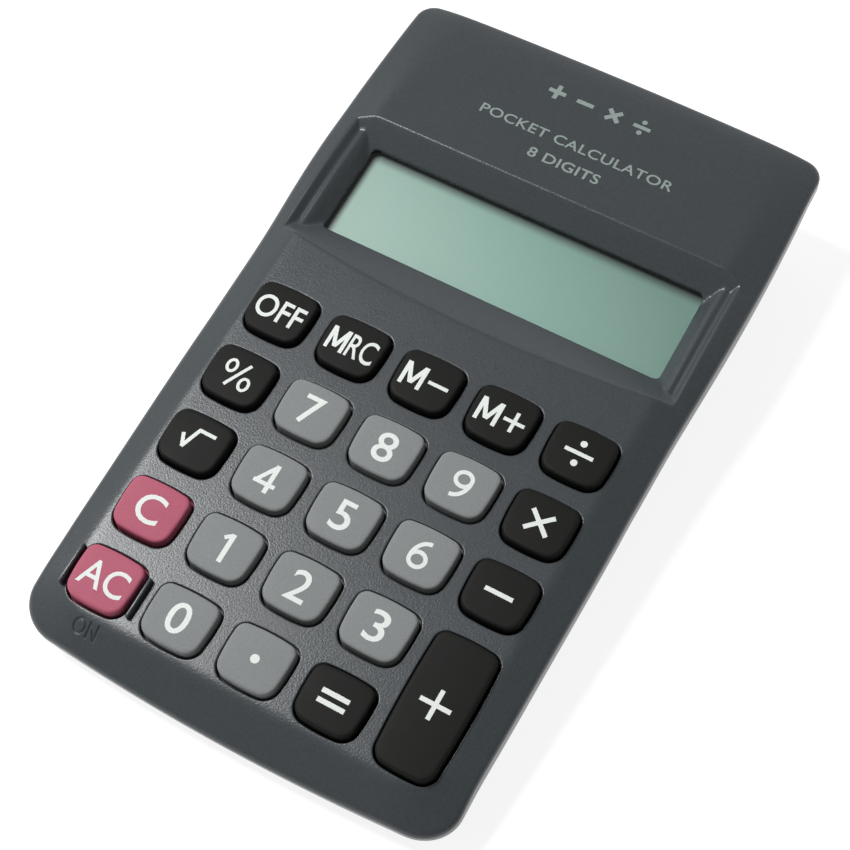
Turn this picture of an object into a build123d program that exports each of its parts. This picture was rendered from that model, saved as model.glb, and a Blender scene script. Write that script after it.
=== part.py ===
"""Pocket calculator: two-shell moulded case, 24 sliding key caps, reflective display, circuit board,
silicone key mat and one AA cell.  Millimetres.

Row frame: origin at the centre of the underside's resting plane, +X across the keys, +Y towards the display
end, +Z up.  The deck slopes up towards the display.  The face frame is the deck's own frame: its origin is the
top of the decimal point key at rest, u = +X, v runs up the deck, w leaves the deck along its normal.
"""

import os
from math import cos, radians, sin, tan

from build123d import *

os.makedirs("parts", exist_ok=True)

# ---------------------------------------------------------------- driving dimensions
tilt = 6.0            # slope of the deck above the resting plane, degrees
face_y = -47.93       # face frame origin in the row frame
face_z = 10.78

# outline of the shells, in the face frame
bottom_v = -11.2      # middle of the bowed lower end
top_v = 106.9         # middle of the bowed upper end
lower_half = 33.1     # half width at the lower corners, before rounding
waist = [(33.75, 20.0), (34.15, 42.0), (34.86, 80.0)]   # (half width, v) points of the two arcs of each side
upper_half = 34.35    # half width at the upper corners, before rounding
lower_corner = 6.0
upper_corner = 3.2

# heights in the face frame (w)
deck_w = -1.35        # deck surface below the key tops
wall = 1.5            # shell thickness
band_w = -8.0         # parting line between the shells
rim_gap = 0.12

# keys
pitch_u = 12.0
pitch_v = 11.5
hole_u, hole_v = 10.05, 8.85
hole_corner = 2.3
hole_bow = 0.22       # how far each side of a key opening bows out
key_gap = 0.2         # clearance around a key in its opening
key_travel = 1.0
flange_reach = 0.6
flange_top = deck_w - wall - 0.06
flange_base = -3.75
board_top = -6.4
board_thick = 1.0

# display
win_half_u = 27.65
win_v0, win_v1 = 63.0, 78.5
recess_half_u = 31.4
recess_v0, recess_v1 = 57.6, 82.4
sill_w = -4.4         # edge of the display opening
lip_w = -5.1          # underside of the opening's lip
pane_thick = 0.8

# battery bay, row frame
cell_r = 7.1
cell_body = 49.0
bay_half_x = 28.9
cell_z = 8.7
floor_t = 1.5

# fasteners
board_posts = [(-18, 17.25), (18, 17.25), (-18, 40.25), (18, 40.25), (-6, 5.75), (6, 5.75)]
case_posts = [(-28.7, -7.2), (28.7, -7.2), (-28.6, 54.9), (28.6, 54.9), (-20.0, 82.6), (20.0, 82.6)]
post_r = 1.7
case_post_r = 2.0

# ---------------------------------------------------------------- frames
ct, st = cos(radians(tilt)), sin(radians(tilt))
deck_y, deck_n = Vector(0, ct, st), Vector(0, -st, ct)
origin = Vector(0, face_y, face_z)


def at(u, v, w):
    """Row-frame point of a face-frame position."""
    return origin + Vector(1, 0, 0) * u + deck_y * v + deck_n * w


def face(w=0.0, u=0.0, v=0.0):
    """Plane parallel to the deck at height w, its origin above (u, v)."""
    return Plane(origin=at(u, v, w), x_dir=(1, 0, 0), z_dir=deck_n)


# sketch plane whose local x is v and local y is w; its normal is +X
side_plane = Plane(origin=origin, x_dir=deck_y, z_dir=(1, 0, 0))
# sketch plane whose local x is u and local y is w; its normal runs down the deck
cross_plane = Plane(origin=origin, x_dir=(1, 0, 0), z_dir=deck_y * -1)


def row_yz(v, w):
    """Row-frame (y, z) of a face-frame (v, w)."""
    p = at(0, v, w)
    return p.Y, p.Z


# ---------------------------------------------------------------- shared profiles
def outline(inset=0.0, lower_r=None, upper_r=None):
    """Outline of the case moved inwards by inset, as a sketch on XY."""
    lower_r = lower_r or max(lower_corner - inset, 0.8)
    upper_r = upper_r or max(upper_corner - inset, 0.8)
    (h1, v1), (h2, v2), (h3, v3) = waist
    with BuildSketch(Plane.XY) as shape:
        with BuildLine():
            ThreePointArc((lower_half, -9.6), (h1, v1), (h2, v2))
            ThreePointArc((h2, v2), (h3, v3), (upper_half, 106.1))
            ThreePointArc((upper_half, 106.1), (0, top_v), (-upper_half, 106.1))
            ThreePointArc((-upper_half, 106.1), (-h3, v3), (-h2, v2))
            ThreePointArc((-h2, v2), (-h1, v1), (-lower_half, -9.6))
            ThreePointArc((-lower_half, -9.6), (0, bottom_v), (lower_half, -9.6))
        make_face()
        if inset:
            offset(amount=-inset, kind=Kind.INTERSECTION, mode=Mode.REPLACE)
        fillet(shape.vertices().group_by(Axis.Y)[0], lower_r)
        fillet(shape.vertices().group_by(Axis.Y)[-1], upper_r)
    return shape.sketch


def cushion(width, height, corner, bow):
    """Rounded rectangle with sides that bow outwards, as a sketch on XY."""
    a, b = width / 2, height / 2
    with BuildSketch(Plane.XY) as shape:
        with BuildLine():
            ThreePointArc((-a + bow, -b + bow), (0, -b), (a - bow, -b + bow))
            ThreePointArc((a - bow, -b + bow), (a, 0), (a - bow, b - bow))
            ThreePointArc((a - bow, b - bow), (0, b), (-a + bow, b - bow))
            ThreePointArc((-a + bow, b - bow), (-a, 0), (-a + bow, -b + bow))
        make_face()
        fillet(shape.vertices(), corner)
    return shape.sketch


def top_profile(drop=0.0):
    """Side view of the shell's upper surface lowered by drop, closed far below, in (v, w)."""
    shoulder = -5.0 - 0.5 * drop
    with BuildSketch(Plane.XY) as shape:
        with BuildLine():
            Polyline(
                (-14.5, -9.0 - drop), (-10.4, -2.9 - drop), (shoulder, deck_w - drop), (57.0, deck_w - drop),
                (82.4, -1.95 - drop), (98.0, -3.05 - drop), (105.0, -4.0 - drop), (109.5, -9.0 - drop),
                (109.5, -30.0), (-14.5, -30.0), close=True,
            )
        make_face()
        for (v, w), r in [((-10.4, -2.9 - drop), 3.5), ((shoulder, deck_w - drop), 6.0), ((105.0, -4.0 - drop), 3.5),
                          ((98.0, -3.05 - drop), 25.0)]:
            fillet(shape.vertices().sort_by_distance((v, w))[0], r)
    return shape.sketch


def across_profile(drop=0.0):
    """End view of the shell's upper surface lowered by drop, closed far below, in (u, w)."""
    flat_u, edge_u, edge_w = 29.0 + 0.67 * drop, 35.6, -4.35
    with BuildSketch(Plane.XY) as shape:
        with BuildLine():
            Polyline(
                (-edge_u, edge_w - drop), (-flat_u, deck_w - drop), (flat_u, deck_w - drop),
                (edge_u, edge_w - drop), (edge_u, -30.0), (-edge_u, -30.0), close=True,
            )
        make_face()
        fillet(shape.vertices().sort_by_distance((-flat_u, deck_w - drop))[0], 3.0)
        fillet(shape.vertices().sort_by_distance((flat_u, deck_w - drop))[0], 3.0)
    return shape.sketch


# ---------------------------------------------------------------- key table
key_table = [
    ("key_off", 0, 4), ("key_mrc", 1, 4), ("key_m_minus", 2, 4), ("key_m_plus", 3, 4), ("key_divide", 4, 4),
    ("key_percent", 0, 3), ("key_7", 1, 3), ("key_8", 2, 3), ("key_9", 3, 3), ("key_multiply", 4, 3),
    ("key_root", 0, 2), ("key_4", 1, 2), ("key_5", 2, 2), ("key_6", 3, 2), ("key_minus", 4, 2),
    ("key_clear", 0, 1), ("key_1", 1, 1), ("key_2", 2, 1), ("key_3", 3, 1),
    ("key_all_clear", 0, 0), ("key_0", 1, 0), ("key_point", 2, 0), ("key_equals", 3, 0), ("key_plus", 4, 0),
]


def key_spot(name, col, row):
    """Face-frame centre of a key and how much taller than one place it is."""
    u, v = (col - 2) * pitch_u, row * pitch_v
    if name == "key_plus":
        return u, v + pitch_v / 2, pitch_v
    return u, v, 0.0


key_spots = {name: key_spot(name, col, row) for name, col, row in key_table}
single_holes = [(u, v) for u, v, extra in key_spots.values() if not extra]
tall_u, tall_v, tall_extra = key_spots["key_plus"]

hole_small = cushion(hole_u, hole_v, hole_corner, hole_bow)
hole_tall = cushion(hole_u, hole_v + tall_extra, hole_corner, hole_bow)
case_outline = outline()
inner_outline = outline(wall)

# ---------------------------------------------------------------- front case
with BuildPart() as front_case:
    with BuildSketch(face(band_w)):
        add(case_outline)
    extrude(amount=9.5)
    with BuildSketch(side_plane):
        add(top_profile())
    extrude(amount=40, both=True, mode=Mode.INTERSECT)
    with BuildSketch(cross_plane):
        add(across_profile())
    extrude(amount=125, both=True, mode=Mode.INTERSECT)
    # bevelled recess around the display opening
    with BuildSketch(face(sill_w, 0, (win_v0 + win_v1) / 2)):
        RectangleRounded(2 * win_half_u + 1.2, win_v1 - win_v0 + 0.8, 1.0)
    with BuildSketch(face(-1.0, 0, (recess_v0 + recess_v1) / 2 + 0.1)):
        RectangleRounded(2 * recess_half_u, recess_v1 - recess_v0 + 1.2, 1.0)
    loft(mode=Mode.SUBTRACT)
    # room inside the shell, kept clear of the display recess, which needs a lower ceiling
    with BuildPart(mode=Mode.PRIVATE) as room:
        with BuildSketch(face(band_w - 0.5)):
            add(inner_outline)
        extrude(amount=8)
        with BuildSketch(side_plane):
            add(top_profile(wall))
        extrude(amount=40, both=True, mode=Mode.INTERSECT)
        with BuildSketch(cross_plane):
            add(across_profile(wall))
        extrude(amount=125, both=True, mode=Mode.INTERSECT)
        with BuildSketch(face(lip_w)):
            with Locations((0, 69.9)):
                Rectangle(80, 2 * (69.9 - 55.7))
        extrude(amount=8, mode=Mode.SUBTRACT)
    add(room.part, mode=Mode.SUBTRACT)
    # display opening
    with BuildSketch(face(-9, 0, (win_v0 + win_v1) / 2)):
        RectangleRounded(2 * win_half_u, win_v1 - win_v0, 0.9)
    extrude(amount=10, mode=Mode.SUBTRACT)
    # key openings
    with BuildSketch(face(-4)):
        with Locations(*single_holes):
            add(hole_small)
        with Locations((tall_u, tall_v)):
            add(hole_tall)
    extrude(amount=5, mode=Mode.SUBTRACT)
    # guard ribs on both sides of the AC key, against an accidental press
    with BuildSketch(face(deck_w - 0.4)):
        for side in (-1, 1):
            with Locations((-24 + side * (hole_u / 2 + 0.42), 0.0)):
                RectangleRounded(0.7, 6.4, 0.3)
    extrude(amount=0.4 + 1.05)
    # posts for the board screws and for the case screws
    with BuildSketch(face(board_top)):
        with Locations(*board_posts):
            Circle(post_r)
    extrude(amount=deck_w - wall - board_top + 0.2)
    with BuildSketch(face(band_w)):
        with Locations(*case_posts[:2]):
            Circle(case_post_r)
    extrude(amount=deck_w - wall - band_w + 0.2)
    with BuildSketch(face(band_w)):
        with Locations(*case_posts[2:4]):
            Circle(case_post_r)
    extrude(amount=deck_w - wall - band_w + 0.2)
    with BuildSketch(face(band_w)):
        with Locations(*case_posts[4:]):
            Circle(case_post_r)
    extrude(amount=3.5)
    # pilot holes
    with BuildSketch(face(board_top - 0.5)):
        with Locations(*board_posts):
            Circle(0.62)
    extrude(amount=3.4, mode=Mode.SUBTRACT)
    with BuildSketch(face(band_w - 0.5)):
        with Locations(*case_posts):
            Circle(0.75)
    extrude(amount=3.4, mode=Mode.SUBTRACT)
front_case.part.label = "front_case"
export_step(front_case.part, "parts/front_case.step")

# ---------------------------------------------------------------- rear case
tub_draft = 13.0
tub_reach = 24.0
tub_pull = tub_reach * tan(radians(tub_draft))


def tub_profile(drop=0.0):
    """Side view of the tub in the row frame (y, z): flat underside that sweeps up at the display end."""
    y_low, _ = row_yz(-18, band_w)
    y_end, _ = row_yz(top_v, band_w)
    with BuildSketch(Plane.XY) as shape:
        with BuildLine():
            Polyline((y_low, drop), (y_end - 6.0, drop), (y_end + 1.0, 14.0 + 0.4 * drop), (y_end + 1.0, 40), (y_low, 40),
                     close=True)
        make_face()
        fillet(shape.vertices().sort_by_distance((y_end - 6.0, drop))[0], 6.0 - 0.6 * drop)
    return shape.sketch


row_side = Plane(origin=(0, 0, 0), x_dir=(0, 1, 0), z_dir=(1, 0, 0))


def tub_loft(inset, above=0.0):
    """Tapering body from the parting plane down past the resting plane."""
    with BuildPart() as body:
        with BuildSketch(face(band_w + above)):
            add(outline(inset, 6.0 - inset, 3.4))
        with BuildSketch(face(band_w - tub_reach)):
            add(outline(inset + tub_pull, 4.6, 3.0))
        loft(ruled=True)
        with BuildSketch(row_side):
            add(tub_profile(0.0 if inset < 1 else floor_t))
        extrude(amount=40, both=True, mode=Mode.INTERSECT)
    return body.part


with BuildPart() as tub_solid:
    add(tub_loft(0.08))
    low_edges = tub_solid.edges().filter_by(lambda e: e.center().Z < 0.05)
    fillet(low_edges, 0.9)

tub_room = tub_loft(wall + 0.1, above=0.01)

cell_v = 94.2
cell_y = row_yz(cell_v, -9.0)[0]
bay_y0, bay_y1 = cell_y - 7.9, cell_y + 7.7
cover_y0 = bay_y0 + 0.3
cover_half = 27.4
lip_half = 28.5

with BuildPart() as rear_case:
    add(tub_solid.part)
    add(tub_room, mode=Mode.SUBTRACT)
    # locating tabs that stand inside the front shell
    with BuildSketch(face(band_w - 2.0)):
        for v, half in [(14.0, 33.5), (36.0, 34.0), (68.0, 34.6), (94.0, 34.7)]:
            with Locations((half - wall - 0.75, v), (-half + wall + 0.75, v)):
                Rectangle(0.9, 6.0)
        with Locations((-16, top_v - wall - 0.95), (16, top_v - wall - 0.95)):
            Rectangle(6.0, 0.9)
    extrude(amount=2.0 + 0.9)
    # screw posts
    with BuildPart(mode=Mode.PRIVATE) as posts:
        with BuildSketch(face(band_w)):
            with Locations(*case_posts):
                Circle(case_post_r + 0.3)
        extrude(amount=-18)
        with BuildSketch(row_side):
            add(tub_profile(0.3))
        extrude(amount=40, both=True, mode=Mode.INTERSECT)
        with BuildSketch(face(band_w)):
            add(outline(4.0))
        extrude(amount=-tub_reach, mode=Mode.INTERSECT)
    add(posts.part)
    # walls of the battery bay
    with BuildPart(mode=Mode.PRIVATE) as bay:
        with BuildSketch(Plane.XY.offset(0.4)):
            with Locations((0, bay_y0 - 0.6)):
                Rectangle(2 * bay_half_x + 2.4, 1.2)
            with Locations((0, bay_y1 + 0.6)):
                Rectangle(2 * bay_half_x + 2.4, 1.2)
            with Locations((-bay_half_x - 0.6, (bay_y0 + bay_y1) / 2), (bay_half_x + 0.6, (bay_y0 + bay_y1) / 2)):
                Rectangle(1.2, bay_y1 - bay_y0 + 2.4)
        extrude(amount=12.2)
        add(tub_loft(0.9, above=0.3), mode=Mode.INTERSECT)
    add(bay.part)
    # ribs that hold the display against the front shell
    with BuildPart(mode=Mode.PRIVATE) as ribs:
        with BuildSketch(face(-7.8)):
            with Locations((-14, 70.5), (14, 70.5)):
                Rectangle(1.2, 15)
        extrude(amount=-14)
        with BuildSketch(row_side):
            add(tub_profile(0.4))
        extrude(amount=40, both=True, mode=Mode.INTERSECT)
    add(ribs.part)
    # opening for the battery cover: narrow below, wider above for the cover's side tongues
    with BuildSketch(Plane.XY.offset(-1)):
        with Locations((0, bay_y0 + 30)):
            Rectangle(2 * cover_half, 60)
    extrude(amount=1 + floor_t + 0.05, mode=Mode.SUBTRACT)
    with BuildSketch(Plane.XY.offset(0.75)):
        with Locations((0, bay_y0 + 30)):
            Rectangle(2 * lip_half, 60)
    extrude(amount=0.95, mode=Mode.SUBTRACT)
    # slots for the contact tails in the bay's lower wall
    with BuildSketch(Plane.XY.offset(cell_z - 2.0)):
        with Locations((-bay_half_x + 0.45, bay_y0 - 0.6), (bay_half_x - 0.45, bay_y0 - 0.6)):
            Rectangle(0.9, 2.0)
    extrude(amount=4.0, mode=Mode.SUBTRACT)
    # screw holes: clearance bore, head pocket open to the underside
    with BuildSketch(face(band_w + 0.2)):
        with Locations(*case_posts):
            Circle(0.95)
    extrude(amount=-24, mode=Mode.SUBTRACT)
    for u, v in case_posts:
        deep = -(at(u, v, band_w).Z / ct)
        seat = min(-0.95, max(deep + 1.15, -8.0))
        with BuildSketch(face(band_w + seat, u, v)):
            Circle(1.75)
        extrude(amount=-24, mode=Mode.SUBTRACT)
rear_case.part.label = "rear_case"
export_step(rear_case.part, "parts/rear_case.step")

# ---------------------------------------------------------------- battery cover
with BuildPart() as battery_cover:
    add(tub_solid.part)
    with BuildPart(mode=Mode.PRIVATE) as tongue:
        with BuildSketch(Plane.XY.offset(-0.5)):
            with Locations((0, cover_y0 + 30)):
                Rectangle(2 * (cover_half - 0.15), 60)
        extrude(amount=0.5 + 1.45)
        with BuildSketch(Plane.XY.offset(0.9)):
            with Locations((0, cover_y0 + 30)):
                Rectangle(2 * (lip_half - 0.15), 60)
        extrude(amount=0.55)
    add(tongue.part, mode=Mode.INTERSECT)
    # thumb dish with grip ridges
    with BuildSketch(Plane.XY.offset(-0.1)):
        with Locations((0, cover_y0 + 5.5)):
            RectangleRounded(14, 6.4, 1.2)
    extrude(amount=0.55, mode=Mode.SUBTRACT)
    with BuildSketch(Plane.XY.offset(0.12)):
        with Locations(*[(0, cover_y0 + 3.5 + 1.0 * i) for i in range(5)]):
            Rectangle(11.5, 0.4)
    extrude(amount=0.5)
battery_cover.part.label = "battery_cover"
export_step(battery_cover.part, "parts/battery_cover.step")

# ---------------------------------------------------------------- key caps
for name, _, _ in key_table:
    u, v, extra = key_spots[name]
    with BuildPart() as key_cap:
        # body with a little draft, standing through the deck
        with BuildSketch(face(flange_base, u, v)):
            add(cushion(hole_u - 2 * key_gap, hole_v + extra - 2 * key_gap, hole_corner - key_gap, hole_bow))
        with BuildSketch(face(0, u, v)):
            add(cushion(hole_u - 2 * key_gap - 0.2, hole_v + extra - 2 * key_gap - 0.2, hole_corner - key_gap, hole_bow))
        loft()
        fillet(key_cap.faces().sort_by(Axis(at(u, v, 0), deck_n))[-1].edges(), 0.75)
        # flange that stops the key under the deck
        with BuildSketch(face(flange_base, u, v)):
            add(cushion(hole_u + 2 * flange_reach - 0.4, hole_v + extra + 2 * flange_reach - 0.4, hole_corner + 0.3, hole_bow))
        extrude(amount=flange_top - flange_base)
        # hollow underside with a central plunger
        with BuildSketch(face(flange_base, u, v)):
            add(cushion(hole_u - 2.6, hole_v + extra - 2.6, 1.3, 0.1))
            Circle(1.6, mode=Mode.SUBTRACT)
        extrude(amount=2.5, mode=Mode.SUBTRACT)
    key_cap.part.label = name
    export_step(key_cap.part, f"parts/{name}.step")

# ---------------------------------------------------------------- key mat, carbon pills
dome_spots = [(u, v) for u, v, _ in key_spots.values()]
with BuildPart() as key_mat:
    with BuildSketch(face(board_top)):
        with Locations((0, 22.5)):
            RectangleRounded(59.0, 54.8, 2.0)
        with Locations(*board_posts):
            Circle(post_r + 0.3, mode=Mode.SUBTRACT)
    extrude(amount=0.6)
    for u, v in dome_spots:
        with BuildSketch(face(board_top + 0.5, u, v)):
            Circle(3.3)
        with BuildSketch(face(board_top + 1.55, u, v)):
            Circle(2.1)
        loft()
    for u, v in dome_spots:
        with BuildSketch(face(board_top, u, v)):
            Circle(2.7)
        with BuildSketch(face(board_top + 1.0, u, v)):
            Circle(1.7)
        loft(mode=Mode.SUBTRACT)
key_mat.part.label = "key_mat"
export_step(key_mat.part, "parts/key_mat.step")

with BuildPart() as contact_pills:
    with BuildSketch(face(board_top + 0.7)):
        with Locations(*dome_spots):
            Circle(1.5)
    extrude(amount=0.3)
contact_pills.part.label = "contact_pills"
export_step(contact_pills.part, "parts/contact_pills.step")

# ---------------------------------------------------------------- circuit board and its components
board_base = board_top - board_thick
with BuildPart() as circuit_board:
    with BuildSketch(face(board_base)):
        with Locations((0, 23.6)):
            RectangleRounded(60.0, 57.4, 1.0)
        with Locations(*board_posts):
            Circle(0.95, mode=Mode.SUBTRACT)
    extrude(amount=board_thick)
circuit_board.part.label = "circuit_board"
export_step(circuit_board.part, "parts/circuit_board.step")

with BuildPart() as chip_cover:
    with BuildSketch(face(board_base, 2.0, 30.0)):
        Circle(6.0)
    with BuildSketch(face(board_base - 1.0, 2.0, 30.0)):
        Circle(3.6)
    loft()
    fillet(chip_cover.faces().sort_by(Axis(at(0, 0, 0), deck_n))[0].edges(), 0.6)
chip_cover.part.label = "chip_cover"
export_step(chip_cover.part, "parts/chip_cover.step")

with BuildPart() as capacitors:
    with BuildSketch(face(board_base)):
        with Locations((-10, 46.5), (-4.5, 46.5)):
            Circle(2.0)
    extrude(amount=-3.4)
    fillet(capacitors.faces().sort_by(Axis(at(0, 0, 0), deck_n))[0].edges(), 0.4)
capacitors.part.label = "capacitors"
export_step(capacitors.part, "parts/capacitors.step")

with BuildPart() as resistors:
    with BuildSketch(face(board_base)):
        with Locations((9.0, 44.5), (9.0, 47.5)):
            Rectangle(3.2, 1.6)
    extrude(amount=-0.7)
resistors.part.label = "resistors"
export_step(resistors.part, "parts/resistors.step")

# ---------------------------------------------------------------- display stack
mid_v = (win_v0 + win_v1) / 2


def slab(name, width, height, w_top, thick, corner=0.4, shift=0.0):
    """Flat rectangular sheet of the display stack, hanging down from height w_top."""
    with BuildPart() as sheet:
        with BuildSketch(face(w_top, 0, mid_v + shift)):
            RectangleRounded(width, height, corner)
        extrude(amount=-thick)
    sheet.part.label = name
    export_step(sheet.part, f"parts/{name}.step")
    return sheet.part


pane_w = lip_w
display_window = slab("display_window", 59.4, 19.0, pane_w, pane_thick)
lcd_w = pane_w - pane_thick
lcd_polariser = slab("lcd_polariser", 58.0, 17.6, lcd_w, 0.2)
lcd_front_glass = slab("lcd_front_glass", 59.0, 19.0, lcd_w - 0.2, 0.7)
lcd_rear_glass = slab("lcd_rear_glass", 59.0, 21.0, lcd_w - 0.9, 0.7, shift=-1.0)
lcd_reflector = slab("lcd_reflector", 58.0, 17.6, lcd_w - 1.6, 0.25)

# flexible strip from the display's ledge down to the board
with BuildPart() as lcd_ribbon:
    with BuildSketch(side_plane):
        with BuildLine():
            path = FilletPolyline(
                (61.1, lcd_w - 0.82), (59.0, lcd_w - 0.82), (55.0, board_top + 0.08), (50.6, board_top + 0.08),
                radius=1.2,
            )
            offset(path, amount=0.08, side=Side.BOTH)
        make_face()
    extrude(amount=17, both=True)
lcd_ribbon.part.label = "lcd_ribbon"

# ---------------------------------------------------------------- battery, contacts and wires
with BuildPart() as battery_cell:
    with BuildSketch(Plane(origin=(-cell_body / 2 + 0.4, cell_y, cell_z), x_dir=(0, 1, 0), z_dir=(1, 0, 0))):
        Circle(cell_r)
    extrude(amount=cell_body)
    fillet(battery_cell.edges().filter_by(GeomType.CIRCLE), 0.6)
    with BuildSketch(Plane(origin=(cell_body / 2 + 0.4, cell_y, cell_z), x_dir=(0, 1, 0), z_dir=(1, 0, 0))):
        Circle(2.75)
    extrude(amount=1.3)
battery_cell.part.label = "battery_cell"
export_step(battery_cell.part, "parts/battery_cell.step")


def contact(name, side):
    """Sprung plate at one end of the bay, with a tail that passes the bay's lower wall."""
    x0 = side * (bay_half_x - 0.3)
    with BuildPart() as plate:
        with BuildSketch(Plane(origin=(x0 - 0.15, cell_y, cell_z), x_dir=(0, 1, 0), z_dir=(1, 0, 0))):
            RectangleRounded(11.0, 9.0, 1.5)
            with Locations(((bay_y0 - 3.2 - cell_y - 4.0) / 2, 0)):
                Rectangle(cell_y - bay_y0 + 3.2 - 4.0, 3.0)
        extrude(amount=0.3)
    plate.part.label = name
    export_step(plate.part, f"parts/{name}.step")
    return plate.part


positive_contact = contact("positive_contact", 1)
negative_contact = contact("negative_contact", -1)

spring_x0 = -bay_half_x + 0.45
spring_len = (-cell_body / 2 + 0.4) - spring_x0
with BuildPart() as contact_spring:
    with BuildLine():
        coil = Helix(
            pitch=(spring_len - 0.7) / 3.5, height=spring_len - 0.7, radius=3.0,
            center=(spring_x0 + 0.35, cell_y, cell_z), direction=(1, 0, 0),
        )
    with BuildSketch(Plane(origin=coil @ 0, z_dir=coil % 0)):
        Circle(0.3)
    sweep(is_frenet=True)
contact_spring.part.label = "contact_spring"
export_step(contact_spring.part, "parts/contact_spring.step")


def wire(name, points, radii):
    """Insulated wire of 1.1 mm along straight runs joined by tangent arcs."""
    with BuildPart() as run:
        with BuildLine():
            path = FilletPolyline(*points, radius=radii)
        with BuildSketch(Plane(origin=path @ 0, z_dir=path % 0)):
            Circle(0.55)
        sweep()
    run.part.label = name
    export_step(run.part, f"parts/{name}.step")
    return run.part


def route(side):
    x = side * (bay_half_x - 1.2)
    y0, z0 = bay_y0 - 2.6, cell_z
    end = at(side * 22.0, 47.0, board_base)
    return [
        Vector(x, y0, z0), Vector(x, y0 - 7, z0 - 1.5), Vector(side * 25.0, y0 - 17, z0 - 4.0),
        Vector(side * 22.6, end.Y - 2.5, z0 - 4.6), Vector(side * 22.0, end.Y + 0.4, end.Z - 0.3),
    ]


red_wire = wire("red_wire", route(1), 1.0)
black_wire = wire("black_wire", route(-1), 1.0)

export_step(lcd_ribbon.part, "parts/lcd_ribbon.step")

# ---------------------------------------------------------------- screws, each group one node
with BuildPart() as board_screws:
    with BuildSketch(face(board_base - 0.9)):
        with Locations(*board_posts):
            Circle(1.5)
    extrude(amount=0.9)
    with BuildSketch(face(board_base - 0.9)):
        with Locations(*board_posts):
            Rectangle(1.8, 0.4)
            Rectangle(0.4, 1.8)
    extrude(amount=0.45, mode=Mode.SUBTRACT)
    with BuildSketch(face(board_base)):
        with Locations(*board_posts):
            Circle(0.62)
    extrude(amount=3.4)
board_screws.part.label = "board_screws"
export_step(board_screws.part, "parts/board_screws.step")

with BuildPart() as case_screws:
    for u, v in case_posts:
        deep = -(at(u, v, band_w).Z / ct)
        seat = min(-0.95, max(deep + 1.15, -8.0))
        with BuildSketch(face(band_w + seat, u, v)):
            Circle(1.6)
        extrude(amount=-0.9)
        with BuildSketch(face(band_w + seat - 0.9, u, v)):
            Rectangle(1.9, 0.4)
            Rectangle(0.4, 1.9)
        extrude(amount=0.45, mode=Mode.SUBTRACT)
        with BuildSketch(face(band_w + seat, u, v)):
            Circle(0.75)
        extrude(amount=2.7 - seat)
case_screws.part.label = "case_screws"
export_step(case_screws.part, "parts/case_screws.step")
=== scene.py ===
"""Looks of the pocket calculator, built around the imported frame.  Lengths in the helpers are millimetres in the
face frame (u across the keys, v up the deck, w out of the deck); place() turns them into row-frame metres."""
import math
import bmesh
import bpy
import numpy as np
from mathutils import Matrix, Vector
from mathutils.geometry import delaunay_2d_cdt


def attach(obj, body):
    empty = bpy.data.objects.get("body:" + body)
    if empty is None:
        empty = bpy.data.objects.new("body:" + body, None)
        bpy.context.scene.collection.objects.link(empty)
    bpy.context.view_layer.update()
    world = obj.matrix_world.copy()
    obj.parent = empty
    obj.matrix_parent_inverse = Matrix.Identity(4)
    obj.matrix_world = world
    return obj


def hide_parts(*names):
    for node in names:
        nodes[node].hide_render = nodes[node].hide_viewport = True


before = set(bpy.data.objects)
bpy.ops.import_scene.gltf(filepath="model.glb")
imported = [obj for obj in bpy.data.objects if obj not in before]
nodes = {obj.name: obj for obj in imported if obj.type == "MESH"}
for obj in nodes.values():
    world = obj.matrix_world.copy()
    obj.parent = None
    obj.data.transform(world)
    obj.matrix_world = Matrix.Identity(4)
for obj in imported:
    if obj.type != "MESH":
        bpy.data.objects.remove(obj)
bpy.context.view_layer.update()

scene = bpy.context.scene

# ---------------------------------------------------------------- frame of the deck
TILT = math.radians(6.0)
CT, ST = math.cos(TILT), math.sin(TILT)
FACE_Y, FACE_Z = -47.93, 10.78
DECK = -1.35
BAND = -8.0
LIP = -5.1


def place(points):
    """Face-frame millimetres to row-frame metres."""
    p = np.asarray(points, float).reshape(-1, 3)
    out = np.empty_like(p)
    out[:, 0] = p[:, 0]
    out[:, 1] = FACE_Y + p[:, 1] * CT - p[:, 2] * ST
    out[:, 2] = FACE_Z + p[:, 1] * ST + p[:, 2] * CT
    return out * 0.001


def turn(d):
    """Direction in the deck frame to the row frame."""
    return Vector((d[0], d[1] * CT - d[2] * ST, d[1] * ST + d[2] * CT))


# ---------------------------------------------------------------- mesh helpers
def mesh_object(name, points, faces, material, smooth=True):
    mesh = bpy.data.meshes.new(name)
    mesh.from_pydata([tuple(p) for p in place(points)], [], [tuple(int(i) for i in f) for f in faces])
    mesh.validate(clean_customdata=False)
    obj = bpy.data.objects.new(name, mesh)
    scene.collection.objects.link(obj)
    mesh.materials.append(material)
    if smooth:
        mesh.polygons.foreach_set("use_smooth", [True] * len(mesh.polygons))
    mesh.update()
    return obj


class Build:
    """Collects points and faces of one closed mesh."""

    def __init__(self):
        self.points, self.faces, self.count = [], [], 0

    def ring(self, pts):
        pts = np.asarray(pts, float)
        first = self.count
        self.points.append(pts)
        self.count += len(pts)
        return np.arange(first, self.count)

    def bridge(self, a, b):
        """Quads between two closed rings of the same length; a is outside or below when looked at with b inside or above."""
        n = len(a)
        for i in range(n):
            j = (i + 1) % n
            self.faces.append((a[i], a[j], b[j], b[i]))

    def fan(self, ring, centre):
        c = self.ring([centre])[0]
        n = len(ring)
        for i in range(n):
            self.faces.append((ring[i], ring[(i + 1) % n], c))

    def fan_down(self, ring, centre):
        c = self.ring([centre])[0]
        n = len(ring)
        for i in range(n):
            self.faces.append((ring[(i + 1) % n], ring[i], c))

    def all_points(self):
        return np.concatenate(self.points)


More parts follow.
